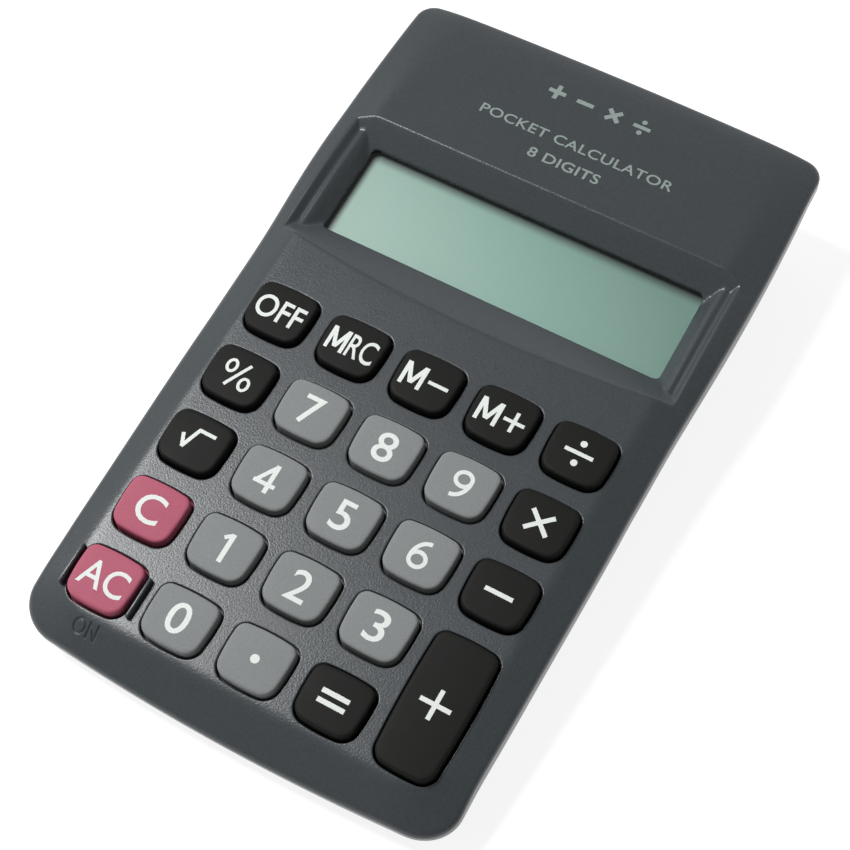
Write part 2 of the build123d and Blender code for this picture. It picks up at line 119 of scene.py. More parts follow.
# ---------------------------------------------------------------- outlines made of arcs
def circle_through(p, q, r):
    (ax, ay), (bx, by), (cx, cy) = p, q, r
    d = 2 * (ax * (by - cy) + bx * (cy - ay) + cx * (ay - by))
    ux = ((ax * ax + ay * ay) * (by - cy) + (bx * bx + by * by) * (cy - ay) + (cx * cx + cy * cy) * (ay - by)) / d
    uy = ((ax * ax + ay * ay) * (cx - bx) + (bx * bx + by * by) * (ax - cx) + (cx * cx + cy * cy) * (bx - ax)) / d
    return np.array([ux, uy]), math.hypot(ax - ux, ay - uy)


def circle_cross(c1, r1, c2, r2, near):
    d = c2 - c1
    L = math.hypot(*d)
    a = (r1 * r1 - r2 * r2 + L * L) / (2 * L)
    h = math.sqrt(max(0.0, r1 * r1 - a * a))
    m = c1 + d * (a / L)
    n = np.array([-d[1], d[0]]) / L
    found = [m + n * h, m - n * h]
    return min(found, key=lambda p: math.hypot(*(p - np.array(near))))


def arc_points(centre, radius, a0, a1, n, ends=(True, False)):
    """n intervals anticlockwise from angle a0 to a1, as points and outward normals."""
    while a1 < a0:
        a1 += 2 * math.pi
    t = np.linspace(a0, a1, n + 1)
    if not ends[0]:
        t = t[1:]
    if not ends[1]:
        t = t[:-1]
    nrm = np.stack([np.cos(t), np.sin(t)], 1)
    return centre + nrm * radius, nrm


def angle(v):
    return math.atan2(v[1], v[0])


def rounded_four(right, top, left, bottom, radii, near, counts):
    """Closed anticlockwise outline of four arcs (centre, radius) joined by fillets.  radii and near go in the order
    bottom right, top right, top left, bottom left."""
    arcs = [right, top, left, bottom]
    pairs = [(bottom, right), (right, top), (top, left), (left, bottom)]
    fil = []
    for (a, b), r, q in zip(pairs, radii, near):
        fil.append((circle_cross(a[0], a[1] - r, b[0], b[1] - r, q), r))
    pts, nrm = [], []
    for i in range(4):
        c_in, r_in = fil[i]
        c_out = fil[(i + 1) % 4][0]
        prev, cur = pairs[i][0], arcs[i]
        p, n = arc_points(c_in, r_in, angle(c_in - prev[0]), angle(c_in - cur[0]), counts[0])
        pts.append(p), nrm.append(n)
        p, n = arc_points(cur[0], cur[1], angle(c_in - cur[0]), angle(c_out - cur[0]), counts[1 + i % 2])
        pts.append(p), nrm.append(n)
    return np.concatenate(pts), np.concatenate(nrm)


def case_outline():
    """Outline of the shells: anticlockwise points and outward normals."""
    a1 = circle_through((33.1, -9.6), (33.75, 20.0), (34.15, 42.0))
    a2 = circle_through((34.15, 42.0), (34.86, 80.0), (34.35, 106.1))
    top = circle_through((34.35, 106.1), (0, 106.9), (-34.35, 106.1))
    bot = circle_through((-33.1, -9.6), (0, -11.2), (33.1, -9.6))
    f1 = circle_cross(bot[0], bot[1] - 6.0, a1[0], a1[1] - 6.0, (27, -4))
    f2 = circle_cross(a2[0], a2[1] - 3.2, top[0], top[1] - 3.2, (31, 103))
    parts = [
        arc_points(bot[0], bot[1], -math.pi / 2, angle(f1 - bot[0]), 34),
        arc_points(f1, 6.0, angle(f1 - bot[0]), angle(f1 - a1[0]), 16),
        arc_points(a1[0], a1[1], angle(f1 - a1[0]), angle(np.array([34.15, 42.0]) - a1[0]), 46),
        arc_points(a2[0], a2[1], angle(np.array([34.15, 42.0]) - a2[0]), angle(f2 - a2[0]), 62),
        arc_points(f2, 3.2, angle(f2 - a2[0]), angle(f2 - top[0]), 14),
        arc_points(top[0], top[1], angle(f2 - top[0]), math.pi / 2, 38, (True, True)),
    ]
    p = np.concatenate([x[0] for x in parts])
    n = np.concatenate([x[1] for x in parts])
    left_p, left_n = p[1:-1][::-1] * [-1, 1], n[1:-1][::-1] * [-1, 1]
    p, n = np.concatenate([p, left_p]), np.concatenate([n, left_n])
    k = int(np.argmin(np.hypot(p[:, 0] - 34.15, p[:, 1] - 42)))
    for i in (k, int(np.argmin(np.hypot(p[:, 0] + 34.15, p[:, 1] - 42)))):
        m = n[i - 1] + n[(i + 1) % len(n)]
        n[i] = m / np.hypot(*m)
    return p, n


def key_outline(extra=0.0, corners=8, sides=8):
    """Outline of a key's top about its own centre: straighter at the top, rounder towards the lower corners."""
    e = extra / 2
    top = circle_through((-4.50, 3.78 + e), (0, 4.10 + e), (4.50, 3.78 + e))
    bot = circle_through((-4.22, -3.78 - e), (0, -4.11 - e), (4.22, -3.78 - e))
    k = 0.0 if not extra else 0.04
    right = circle_through((4.50, 3.78 + e), (4.63 + k, 1.2), (4.22 + k, -3.78 - e))
    left = (right[0] * [-1, 1], right[1])
    return rounded_four(
        right, top, left, bot, (2.15, 1.5, 1.5, 2.15),
        ((2.1, -1.7 - e), (3.0, 2.3 + e), (-3.0, 2.3 + e), (-2.1, -1.7 - e)),
        (corners, sides if not extra else sides + 12, sides),
    )


# how far the rounded edge of the front shell stands in from (-) or out of (+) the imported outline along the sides
EDGE_V = [-14, -8, -6, -2, 5, 15, 30, 36, 42, 48, 55, 62, 70, 82, 92, 100, 103, 110]
EDGE_D = [0.2, 0.50, 0.42, 0.10, 0.11, 0.05, 0.0, -0.05, -0.17, -0.34, -0.49, -0.38, -0.20, -0.09, -0.16, -0.30, -0.30, 0.0]
LOWER_INSET = 1.12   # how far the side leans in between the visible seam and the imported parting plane


def smooth_table(x, xs, ys):
    """Smooth interpolation through a table."""
    xs, ys = np.asarray(xs, float), np.asarray(ys, float)
    i = np.clip(np.searchsorted(xs, x) - 1, 0, len(xs) - 2)
    t = np.clip((x - xs[i]) / (xs[i + 1] - xs[i]), 0, 1)
    m = np.gradient(ys, xs)
    d = xs[i + 1] - xs[i]
    return ((2 * t ** 3 - 3 * t ** 2 + 1) * ys[i] + (t ** 3 - 2 * t ** 2 + t) * d * m[i]
            + (-2 * t ** 3 + 3 * t ** 2) * ys[i + 1] + (t ** 3 - t ** 2) * d * m[i + 1])


def visible_outline():
    """Edge of the front shell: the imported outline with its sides' small waist, and the same normals."""
    p, n = case_outline()
    d = smooth_table(p[:, 1], EDGE_V, EDGE_D) * np.abs(n[:, 0]) ** 2
    k = np.array([1, 4, 6, 4, 1]) / 16.0
    for _ in range(6):
        d = sum(np.roll(d, j - 2) * k[j] for j in range(5))
    return p + n * d[:, None], n


def seam(v):
    """Height of the visible seam between the shells."""
    return -5.75 - 0.006 * v - 0.0145 * np.maximum(0, v - 40)


def lean(ny):
    """Share of the inward lean, less at the near end."""
    t = np.clip((-ny - 0.3) / 0.65, 0, 1)
    return 1 - 0.6 * t * t * (3 - 2 * t)


KEYS = [
    ("key_off", 0, 4), ("key_mrc", 1, 4), ("key_m_minus", 2, 4), ("key_m_plus", 3, 4), ("key_divide", 4, 4),
    ("key_percent", 0, 3), ("key_7", 1, 3), ("key_8", 2, 3), ("key_9", 3, 3), ("key_multiply", 4, 3),
    ("key_root", 0, 2), ("key_4", 1, 2), ("key_5", 2, 2), ("key_6", 3, 2), ("key_minus", 4, 2),
    ("key_clear", 0, 1), ("key_1", 1, 1), ("key_2", 2, 1), ("key_3", 3, 1),
    ("key_all_clear", 0, 0), ("key_0", 1, 0), ("key_point", 2, 0), ("key_equals", 3, 0), ("key_plus", 4, 0),
]


def spot(name, col, row):
    u, v = (col - 2) * 12.0, row * 11.5
    return (u, v + 5.75, 11.5) if name == "key_plus" else (u, v, 0.0)


SPOTS = {name: spot(name, col, row) for name, col, row in KEYS}


# ---------------------------------------------------------------- height of the front shell
def smoothstep(a, b, x):
    t = np.clip((x - a) / (b - a), 0, 1)
    return t * t * (3 - 2 * t)


def softplus(x):
    return np.logaddexp(0, x)


def smax(a, b, k):
    return 0.5 * (a + b + np.sqrt((a - b) ** 2 + k * k))


def smin(a, b, k):
    return 0.5 * (a + b - np.sqrt((a - b) ** 2 + k * k))


CORNER = 6.2         # rounding of the deck's near corners, seen from above


def base_height(u, v):
    s = np.abs(u)
    t = smoothstep(57, 82, v)
    header = -2.005 - 0.0708 * (v - 82.4) - 0.0056 * np.maximum(0, v - 97) ** 2 - 0.03 * np.maximum(0, v - 103.5) ** 2
    h = DECK * (1 - t) + header * t
    # the deck falls to the sides and to the near end, round a soft corner
    cs, cv = np.maximum(0, s - 29.45 + CORNER), np.maximum(0, -5.2 - v + CORNER)
    share = cs ** 2 / (cs ** 2 + cv ** 2 + 1e-9)
    share = np.where(v > 1.0, 1.0, share)
    dist = np.where(cs * cv > 0, np.hypot(cs, cv), np.maximum(cs, cv)) - CORNER
    slope = share * (0.285 + 0.0025 * np.clip(v - 5, -5, 50)) + (1 - share) * 0.46
    soft_d = share * 0.34 + (1 - share) * 0.6
    deck_fall = slope * soft_d * softplus(dist / soft_d)
    soft = 0.28 + 1.3 * smoothstep(84, 104, v)
    head_side = (0.30 - 0.006 * np.clip(v - 82, 0, 20)) * soft * softplus((s - 29.2) / soft)
    t2 = smoothstep(58, 80, v)
    return h - deck_fall * (1 - t2) - head_side * t2


def crease(u):
    return 56.9 + 2.3 * (u / 31.0) ** 2


# section across the rolls at the ends of the display recess, down from the ridge at 31.8
ROLL_S = [26.0, 27.5, 28.5, 29.2, 29.6, 29.95, 30.3, 30.6, 30.9, 31.15, 31.45, 31.75, 32.1, 32.5, 33.4]
ROLL_H = [-4.6, -3.1, -2.02, -1.28, -0.96, -0.83, -0.86, -0.94, -0.90, -0.70, -0.36, -0.12, -0.05, 0.12, 0.9]


def recess_height(u, v):
    s = np.abs(u)
    wall = -4.4 + 0.615 * (v - 78.5)
    roll = base_height(np.full_like(v, 31.8), v) + smooth_table(s, ROLL_S, ROLL_H)
    vc = crease(u)
    floor = -4.4 + (base_height(u, vc) + 4.4) * (63.0 - v) / (63.0 - vc)
    r = smax(wall, floor, 0.12)
    return smax(r, roll, 0.18)


LETTERS = [
    ("ring", (-24.05, -6.72), (0.84, 0.93)),
    ("line", (-22.62, -7.72), (-22.62, -5.72)),
    ("line", (-22.62, -5.72), (-21.38, -7.72)),
    ("line", (-21.38, -7.72), (-21.38, -5.72)),
]


def letter_distance(u, v):
    """Distance to the strokes of the sunk word beside the AC key, less half a stroke."""
    best = np.full(u.shape, 9.0)
    for kind, a, b in LETTERS:
        if kind == "ring":
            x, y = (u - a[0]) / b[0], (v - a[1]) / b[1]
            d = np.abs(np.hypot(x, y) - 1) * min(b)
        else:
            ax, ay, bx, by = *a, *b
            t = np.clip(((u - ax) * (bx - ax) + (v - ay) * (by - ay)) / ((bx - ax) ** 2 + (by - ay) ** 2), 0, 1)
            d = np.hypot(u - ax - t * (bx - ax), v - ay - t * (by - ay))
        best = np.minimum(best, d)
    return best - 0.14


def shell_height(u, v):
    u, v = np.asarray(u, float), np.asarray(v, float)
    k = 0.11 + 0.03 * smoothstep(30.6, 31.4, np.abs(u)) * smoothstep(59.0, 61.5, v) * (1 - smoothstep(80.6, 82.0, v))
    h = smin(base_height(u, v), recess_height(u, v), k)
    return h - 0.21 * (1 - smoothstep(-0.05, 0.07, letter_distance(u, v)))


# ---------------------------------------------------------------- distance helpers
def inside(poly, x, y):
    px, py = poly[:, 0], poly[:, 1]
    qx, qy = np.roll(px, -1), np.roll(py, -1)
    res = np.zeros(len(x), bool)
    for i in range(len(px)):
        if py[i] == qy[i]:
            continue
        cross = (py[i] > y) != (qy[i] > y)
        res ^= cross & (x < (qx[i] - px[i]) * (y - py[i]) / (qy[i] - py[i]) + px[i])
    return res


def near(poly, x, y):
    """Distance from points to a closed polyline."""
    best = np.full(len(x), 1e9)
    q = np.roll(poly, -1, 0)
    for (ax, ay), (bx, by) in zip(poly, q):
        L = (bx - ax) ** 2 + (by - ay) ** 2
        t = np.clip(((x - ax) * (bx - ax) + (y - ay) * (by - ay)) / L, 0, 1)
        best = np.minimum(best, (x - ax - t * (bx - ax)) ** 2 + (y - ay - t * (by - ay)) ** 2)
    return np.sqrt(best)


def window_outline(grow=0.0):
    """Rounded rectangle of the display opening, grown outwards."""
    a, b, r = 27.65 + grow, 7.75 + grow, 0.9 + grow
    pts = []
    for cx, cy, a0 in ((a - r, -b + r, -90), (a - r, b - r, 0), (-a + r, b - r, 90), (-a + r, -b + r, 180)):
        for k in range(7):
            t = math.radians(a0 + 15 * k)
            pts.append((cx + r * math.cos(t), 70.75 + cy + r * math.sin(t)))
    out = []
    steps = [13, 50, 13, 50]
    for i in range(4):
        out += pts[7 * i: 7 * i + 7]
        p, q = np.array(pts[7 * i + 6]), np.array(pts[(7 * i + 7) % 28])
        n = steps[(i) % 4]
        out += [tuple(p + (q - p) * k / n) for k in range(1, n)]
    return np.array(out)


# ---------------------------------------------------------------- front shell
EDGE = 0.72          # rounding of the outer edge
INSETS = [0.0, 0.02, 0.06, 0.13, 0.22, 0.34, 0.50, 0.72, 1.05, 1.6]
HOLE_RINGS = [0.0, 0.04, 0.10, 0.17, 0.25, 0.36, 0.56, 0.86]
HOLE_EDGE = 0.18     # rounding of the key openings
HOLE = 0.38          # opening beyond the key's top outline


def rounded_drop(d, r):
    d = np.minimum(d, r)
    return r - math.sqrt(max(0.0, r * r - (r - d) ** 2))


def build_front_case(material):
    rim, rim_n = visible_outline()
    packed, packed_n = case_outline()
    pts, hts, edges = [], [], []
    count = 0

    def add_loop(loop, heights):
        nonlocal count
        ids = np.arange(count, count + len(loop))
        pts.append(loop)
        hts.append(heights)
        count += len(loop)
        edges.extend([(int(a), int(b)) for a, b in zip(ids, np.roll(ids, -1))])
        return ids

    rim_ids = []
    for d in INSETS:
        loop = rim - rim_n * d
        soft = EDGE * np.ones(len(loop))
        drop = np.array([rounded_drop(d, r) for r in soft])
        ref = rim - rim_n * max(d, 0.0)
        rim_ids.append(add_loop(loop, shell_height(ref[:, 0], ref[:, 1]) - drop))
    hole_ids, hole_loops = {}, {}
    for name, (u, v, extra) in SPOTS.items():
        k, kn = key_outline(extra)
        centre = np.array([u, v])
        loops = []
        for d in HOLE_RINGS:
            loop = centre + k + kn * (HOLE + d)
            drop = rounded_drop(d, HOLE_EDGE)
            loops.append(add_loop(loop, shell_height(loop[:, 0], loop[:, 1]) - drop))
        hole_ids[name] = loops
        hole_loops[name] = (centre + k + kn * HOLE, centre + k + kn * (HOLE + HOLE_RINGS[-1]))
    win_ids = []
    for g in (0.0, 0.06, 0.16, 0.32):
        loop = window_outline(g)
        h = shell_height(loop[:, 0], loop[:, 1]) - rounded_drop(g, 0.12)
        win_ids.append(add_loop(loop, h))
    win_in, win_out = window_outline(0.0), window_outline(0.32)

    # free points: a grid that is fine where the surface turns
    def lines(parts):
        out = []
        for a, b, step in parts:
            n = max(1, int(round((b - a) / step)))
            out += list(np.linspace(a, b, n + 1))
        return np.unique(np.round(out, 4))

    half_u = lines([(0, 26.4, 1.1), (26.4, 28.2, 0.36), (28.2, 31.2, 0.15), (31.2, 31.65, 0.1), (31.65, 31.95, 0.05),
                    (31.95, 32.5, 0.1), (32.5, 34.6, 0.35)])
    us = np.unique(np.concatenate([-half_u, half_u]))
    vs = lines([(-10.6, -7.2, 0.6), (-7.2, -3.6, 0.3), (-3.6, 55.4, 0.95), (55.4, 56.6, 0.4), (59.4, 63.0, 0.3),
                (63.0, 78.5, 0.62), (78.5, 80.4, 0.2), (80.4, 82.1, 0.13), (82.1, 82.2, 0.05), (82.2, 82.65, 0.045), (82.65, 83.0, 0.12),
                (83.0, 97, 0.9), (97, 106.5, 0.6)])
    gu, gv = (g.ravel() for g in np.meshgrid(us, vs))
    keep = ~((gv > 56.3) & (gv < 59.75) & (np.abs(gv - crease(gu)) < 0.8))
    gu, gv = gu[keep], gv[keep]
    # rows that follow the crease below the display
    cu = np.unique(np.concatenate([-half_u, half_u]))
    extra_u, extra_v = [], []
    for off in (-0.7, -0.45, -0.25, -0.12, -0.04, 0.04, 0.12, 0.25, 0.45, 0.7):
        extra_u.append(cu)
        extra_v.append(crease(cu) + off)
    # between the crease band and the rows above and below it
    for row in np.arange(56.2, 61.4, 0.32):
        m = (np.abs(row - crease(cu)) > 0.85) & (row > 55.6) & (row < 59.2)
        extra_u.append(cu[m])
        extra_v.append(np.full(int(m.sum()), row))
    gu = np.concatenate([gu] + extra_u)
    gv = np.concatenate([gv] + extra_v)
    # fine patch for the sunk letters
    letters = (-25.35, -20.95, -8.05, -5.42)
    m = (gu > letters[0] - 0.12) & (gu < letters[1] + 0.12) & (gv > letters[2] - 0.12) & (gv < letters[3] + 0.12)
    gu, gv = gu[~m], gv[~m]
    lu, lv = (g.ravel() for g in np.meshgrid(np.arange(letters[0], letters[1], 0.085), np.arange(letters[2], letters[3], 0.085)))
    gu, gv = np.concatenate([gu, lu]), np.concatenate([gv, lv])

    inner = rim - rim_n * INSETS[-1]
    ok = inside(inner, gu, gv)
    gu, gv = gu[ok], gv[ok]
    ok = near(inner, gu, gv) > 0.22
    # points between the last fine edge ring and the innermost ring are left to the rings
    gu, gv = gu[ok], gv[ok]
    ok = np.ones(len(gu), bool)
    for name, (u, v, extra) in SPOTS.items():
        _, outer = hole_loops[name]
        box = (np.abs(gu - u) < 6.6) & (np.abs(gv - v) < 6.4 + extra / 2)
        idx = np.nonzero(box)[0]
        if len(idx):
            bad = inside(outer, gu[idx], gv[idx]) | (near(outer, gu[idx], gv[idx]) < 0.16)
            ok[idx[bad]] = False
    bad = inside(win_out, gu, gv) | (near(win_out, gu, gv) < 0.08)
    ok &= ~bad
    gu, gv = gu[ok], gv[ok]
    # drop near duplicates
    key = np.round(np.stack([gu, gv], 1) / 0.03).astype(np.int64)
    _, first = np.unique(key, axis=0, return_index=True)
    gu, gv = gu[np.sort(first)], gv[np.sort(first)]
    pts.append(np.stack([gu, gv], 1))
    hts.append(shell_height(gu, gv))
    flat, height = np.concatenate(pts), np.concatenate(hts)

    vo, _, fo, orig, _, _ = delaunay_2d_cdt([Vector(p) for p in flat], edges, [], 0, 1e-5, True)
    back = np.full(len(vo), -1, np.int64)
    for i, o in enumerate(orig):
        if len(o):
            back[i] = o[0]
    tris = back[np.array([tuple(f) for f in fo if len(f) == 3], np.int64)]
    tris = tris[(tris >= 0).all(1)]
    cen = flat[tris].mean(1)
    ok = inside(rim, cen[:, 0], cen[:, 1]) & ~inside(win_in, cen[:, 0], cen[:, 1])
    for name, (u, v, extra) in SPOTS.items():
        idx = np.nonzero(ok & (np.abs(cen[:, 0] - u) < 5.5) & (np.abs(cen[:, 1] - v) < 5.5 + extra / 2))[0]
        ok[idx[inside(hole_loops[name][0], cen[idx, 0], cen[idx, 1])]] = False
    tris = tris[ok]
    a, b, c = (flat[tris[:, i]] for i in range(3))
    area = (b[:, 0] - a[:, 0]) * (c[:, 1] - a[:, 1]) - (b[:, 1] - a[:, 1]) * (c[:, 0] - a[:, 0])
    tris[area < 0] = tris[area < 0][:, ::-1]

    build = Build()
    build.ring(np.column_stack([flat, height]))
    build.faces += [tuple(t) for t in tris]
    # underside: the same triangles inside the innermost ring, a wall thickness lower
    used = inside(rim - rim_n * (INSETS[-1] - 0.01), cen[ok][:, 0], cen[ok][:, 1])
    under_tris = tris[used]
    under = np.maximum(height - 1.4, LIP)
    hole_first = {}
    for name, loops in hole_ids.items():
        for ids in loops:
            under[ids] = np.maximum(shell_height(flat[ids, 0], flat[ids, 1]) - 1.4, LIP)
    for ids in win_ids:
        under[ids] = LIP
    ids_used = np.unique(under_tris)
    remap = np.full(len(flat), -1, np.int64)
    low = build.ring(np.column_stack([flat[ids_used], under[ids_used]]))
    remap[ids_used] = low
    build.faces += [tuple(remap[t[::-1]]) for t in under_tris]
    # outer side, rim and inner side
    top0 = rim_ids[0]
    h0 = height[top0]
    s0 = seam(rim[:, 1])
    share = lean(packed_n[:, 1])
    inward = (LOWER_INSET + 0.05) * share
    foot = packed - packed_n * (inward + 0.02)[:, None]

    def side(inset, w):
        inset = np.broadcast_to(inset, len(rim))
        return build.ring(np.column_stack([rim - rim_n * inset[:, None], np.broadcast_to(w, len(rim))]))

    r1 = side(0.0, h0 - 0.07)
    r2 = side(0.0, (h0 + s0) / 2)
    r3 = side(0.0, s0 + 0.16)
    r4 = side(0.04, s0 + 0.06)
    r5 = side(0.12, s0 + 0.01)
    g1 = side(0.36, s0)
    g2 = side(0.36, s0 - 0.20)
    g3 = side(0.12 + 0.04 * share, s0 - 0.22)
    g4 = side(0.08 + 0.10 * share, s0 - 0.32)
    f1 = build.ring(np.column_stack([foot, np.full(len(rim), BAND + 0.06)]))
    f2 = build.ring(np.column_stack([foot - packed_n * 0.05, np.full(len(rim), BAND + 0.01)]))
    f3 = build.ring(np.column_stack([foot - packed_n * 1.1, np.full(len(rim), BAND + 0.01)]))
    r6 = side(1.75 + 0.3 * share, np.maximum(s0 - 1.0, BAND + 0.4))
    r7 = side(1.6, s0 + 0.1)
    chain = [r7, r6, f3, f2, f1, g4, g3, g2, g1, r5, r4, r3, r2, r1, top0]
    build.bridge(remap[rim_ids[-1]], r7)
    for lo, hi in zip(chain[:-1], chain[1:]):
        build.bridge(lo, hi)
    # walls of the openings
    for name, loops in hole_ids.items():
        t0, b0 = loops[0], remap[loops[0]]
        mid = build.ring(np.column_stack([flat[t0], height[t0] - 0.06]))
        build.bridge(t0, mid)
        build.bridge(mid, b0)
    t0, b0 = win_ids[0], remap[win_ids[0]]
    mid = build.ring(np.column_stack([flat[t0], height[t0] - 0.05]))
    build.bridge(t0, mid)
    build.bridge(mid, b0)
    return build


def add_guard(build, u):
    """Rounded rib beside the AC key."""
    profile = [(0.0, -1.9), (0.0, -0.62), (0.02, -0.50), (0.07, -0.40), (0.14, -0.34), (0.20, -0.32)]
    prev = None
    for inset, w in profile:
        hu, hv, r = 0.28 - inset, 3.16 - inset, max(0.26 - inset, 0.03)
        loop = []
        for cx, cy, a0 in ((hu - r, -hv + r, -90), (hu - r, hv - r, 0), (-hu + r, hv - r, 90), (-hu + r, -hv + r, 180)):
            for k in range(6):
                t = math.radians(a0 + 18 * k)
                loop.append((u + cx + r * math.cos(t), cy + r * math.sin(t), w))
        ids = build.ring(loop)
        if prev is None:
            build.fan_down(ids, (u, 0, w))
        else:
            build.bridge(prev, ids)
        prev = ids
    build.fan(prev, (u, 0, -0.32))


def add_post(build, u, v, radius, bore, w0, w1, depth):
    """Screw post that hangs from the shell: w0 its free end, w1 inside the shell, bore open at w0."""
    n = 28
    t = np.linspace(0, 2 * math.pi, n, endpoint=False)

    def circle(r, w):
        return build.ring(np.column_stack([u + r * np.cos(t), v + r * np.sin(t), np.full(n, w)]))

    inner_top = circle(bore, w0 + depth)
    inner = circle(bore, w0 + 0.12)
    mouth = circle(bore + 0.12, w0)
    foot = circle(radius - 0.15, w0)
    low = circle(radius, w0 + 0.15)
    high = circle(radius, w1)
    build.fan_down(inner_top, (u, v, w0 + depth))
    for a, b in ((inner_top, inner), (inner, mouth), (mouth, foot), (foot, low), (low, high)):
        build.bridge(a, b)
    build.fan(high, (u, v, w1))


# ---------------------------------------------------------------- keys
KEY_EDGE = 0.38


def crown(x, y, extra):
    """Height of the slightly domed top about the key's centre."""
    return -0.11 * ((x / 4.6) ** 2 + (np.abs(y) / (4.1 + extra / 2)) ** (2 if not extra else 3))


def build_key(u, v, extra):
    k, kn = key_outline(extra, 10, 10)
    build = Build()
    rings = []

    def loop(offset, w):
        p = k + kn * offset
        return build.ring(np.column_stack([p[:, 0] + u, p[:, 1] + v, np.broadcast_to(w, len(p))]))

    # hollow underside with its plunger
    n = len(k)
    d = k / np.hypot(k[:, 0], k[:, 1])[:, None]
    rod = d * 1.6

    def rod_ring(w, r=1.6):
        return build.ring(np.column_stack([u + d[:, 0] * r, v + d[:, 1] * r, np.full(n, w)]))

    foot = rod_ring(-3.75, 1.45)
    rod_low, rod_high = rod_ring(-3.6), rod_ring(-1.3)
    build.fan_down(foot, (u, v, -3.75))
    roof = loop(-1.35, -1.3)
    skirt = loop(-1.15, -3.75)
    flange = [loop(0.66, -3.75), loop(0.74, -3.67), loop(0.74, -3.0), loop(0.68, -2.93), loop(0.14, -2.93)]
    rings = [foot, rod_low, rod_high, roof, skirt] + flange
    # side, leaning in a little, then the rounded edge
    rings += [loop(0.10, -2.6), loop(0.05, -1.6), loop(0.015, -1.0)]
    for step in (0.0, 0.12, 0.26, 0.42, 0.6, 0.8, 1.0):
        ang = step * math.pi / 2
        inset = KEY_EDGE * (1 - math.cos(ang))
        p = k - kn * inset
        w = crown(p[:, 0], p[:, 1], extra) - KEY_EDGE * (1 - math.sin(ang))
        rings.append(loop(-inset, w))
    p = k - kn * KEY_EDGE
    for s in (0.93, 0.84, 0.72, 0.58, 0.42, 0.24, 0.1):
        q = p * s
        if extra:
            q = np.column_stack([p[:, 0] * s, p[:, 1] - np.sign(p[:, 1]) * np.minimum(np.abs(p[:, 1]), 3.5) * (1 - s)])
            q[:, 1] = p[:, 1] * (1 - (1 - s) * 3.6 / 9.2)
        rings.append(build.ring(np.column_stack([q[:, 0] + u, q[:, 1] + v, crown(q[:, 0], q[:, 1], extra)])))
    for lo, hi in zip(rings[:-1], rings[1:]):
        build.bridge(lo, hi)
    last = rings[-1]
    if extra:
        build.faces.append(tuple(int(i) for i in last))
    else:
        build.fan(last, (u, v, 0.0))
    return build


# ---------------------------------------------------------------- printed legends
def text_polygons(body, width, height, bold=0.0, spacing=1.0):
    """Flat mesh data (points, faces) of a short text fitted to a box centred on the origin."""
    curve = bpy.data.curves.new("legend", "FONT")
    curve.body = body
    curve.resolution_u = 5
    curve.offset = bold
    curve.space_character = spacing
    obj = bpy.data.objects.new("legend", curve)
    scene.collection.objects.link(obj)
    bpy.context.view_layer.update()
    mesh = bpy.data.meshes.new_from_object(obj.evaluated_get(bpy.context.evaluated_depsgraph_get()))
    co = np.array([v.co[:2] for v in mesh.vertices], float)
    faces = [tuple(p.vertices) for p in mesh.polygons]
    bpy.data.objects.remove(obj)
    bpy.data.meshes.remove(mesh)
    bpy.data.curves.remove(curve)
    lo, hi = co.min(0), co.max(0)
    co = (co - (lo + hi) / 2) / (hi - lo) * [width, height]
    return co, faces


def quad(x0, y0, x1, y1):
    return np.array([(x0, y0), (x1, y0), (x1, y1), (x0, y1)])


def disc(x, y, r, n=24):
    t = np.linspace(0, 2 * math.pi, n, endpoint=False)
    return np.column_stack([x + r * np.cos(t), y + r * np.sin(t)])


def stroke_union(loops, rings=()):
    """Flat mesh data of the union of closed anticlockwise loops."""
    pts, edges, count = [], [], 0
    for loop in list(loops) + [side for ring in rings for side in ring]:
        pts += [Vector(p) for p in loop]
        edges += [(count + i, count + (i + 1) % len(loop)) for i in range(len(loop))]
        count += len(loop)
    vo, _, fo, *_ = delaunay_2d_cdt(pts, edges, [], 0, 1e-5, False)
    co = np.array([tuple(v) for v in vo])
    tris = np.array([tuple(f) for f in fo])
    cen = co[tris].mean(1)
    keep = np.zeros(len(tris), bool)
    for loop in loops:
        keep |= inside(np.asarray(loop, float), cen[:, 0], cen[:, 1])
    for outer, inner in rings:
        keep |= inside(outer, cen[:, 0], cen[:, 1]) & ~inside(inner, cen[:, 0], cen[:, 1])
    return co, [tuple(int(i) for i in t) for t in tris[keep]]


def bar(p, q, width, ends=(0.0, 0.0)):
    p, q = np.array(p, float), np.array(q, float)
    d = (q - p) / np.hypot(*(q - p))
    n = np.array([-d[1], d[0]]) * width / 2
    p, q = p - d * ends[0], q + d * ends[1]
    return np.array([p - n, q - n, q + n, p + n])


def polyline(points, width):
    """Mitred outline of an open stroke."""
    pts = [np.array(p, float) for p in points]
    left, right = [], []
    for i, p in enumerate(pts):
        a = pts[i] - pts[i - 1] if i else pts[1] - pts[0]
        b = pts[i + 1] - pts[i] if i < len(pts) - 1 else a
        a, b = a / np.hypot(*a), b / np.hypot(*b)
        na, nb = np.array([-a[1], a[0]]), np.array([-b[1], b[0]])
        m = na + nb
        m = m / (1 + float(na @ nb))
        left.append(p + m * width / 2)
        right.append(p - m * width / 2)
    return np.array(right + left[::-1])


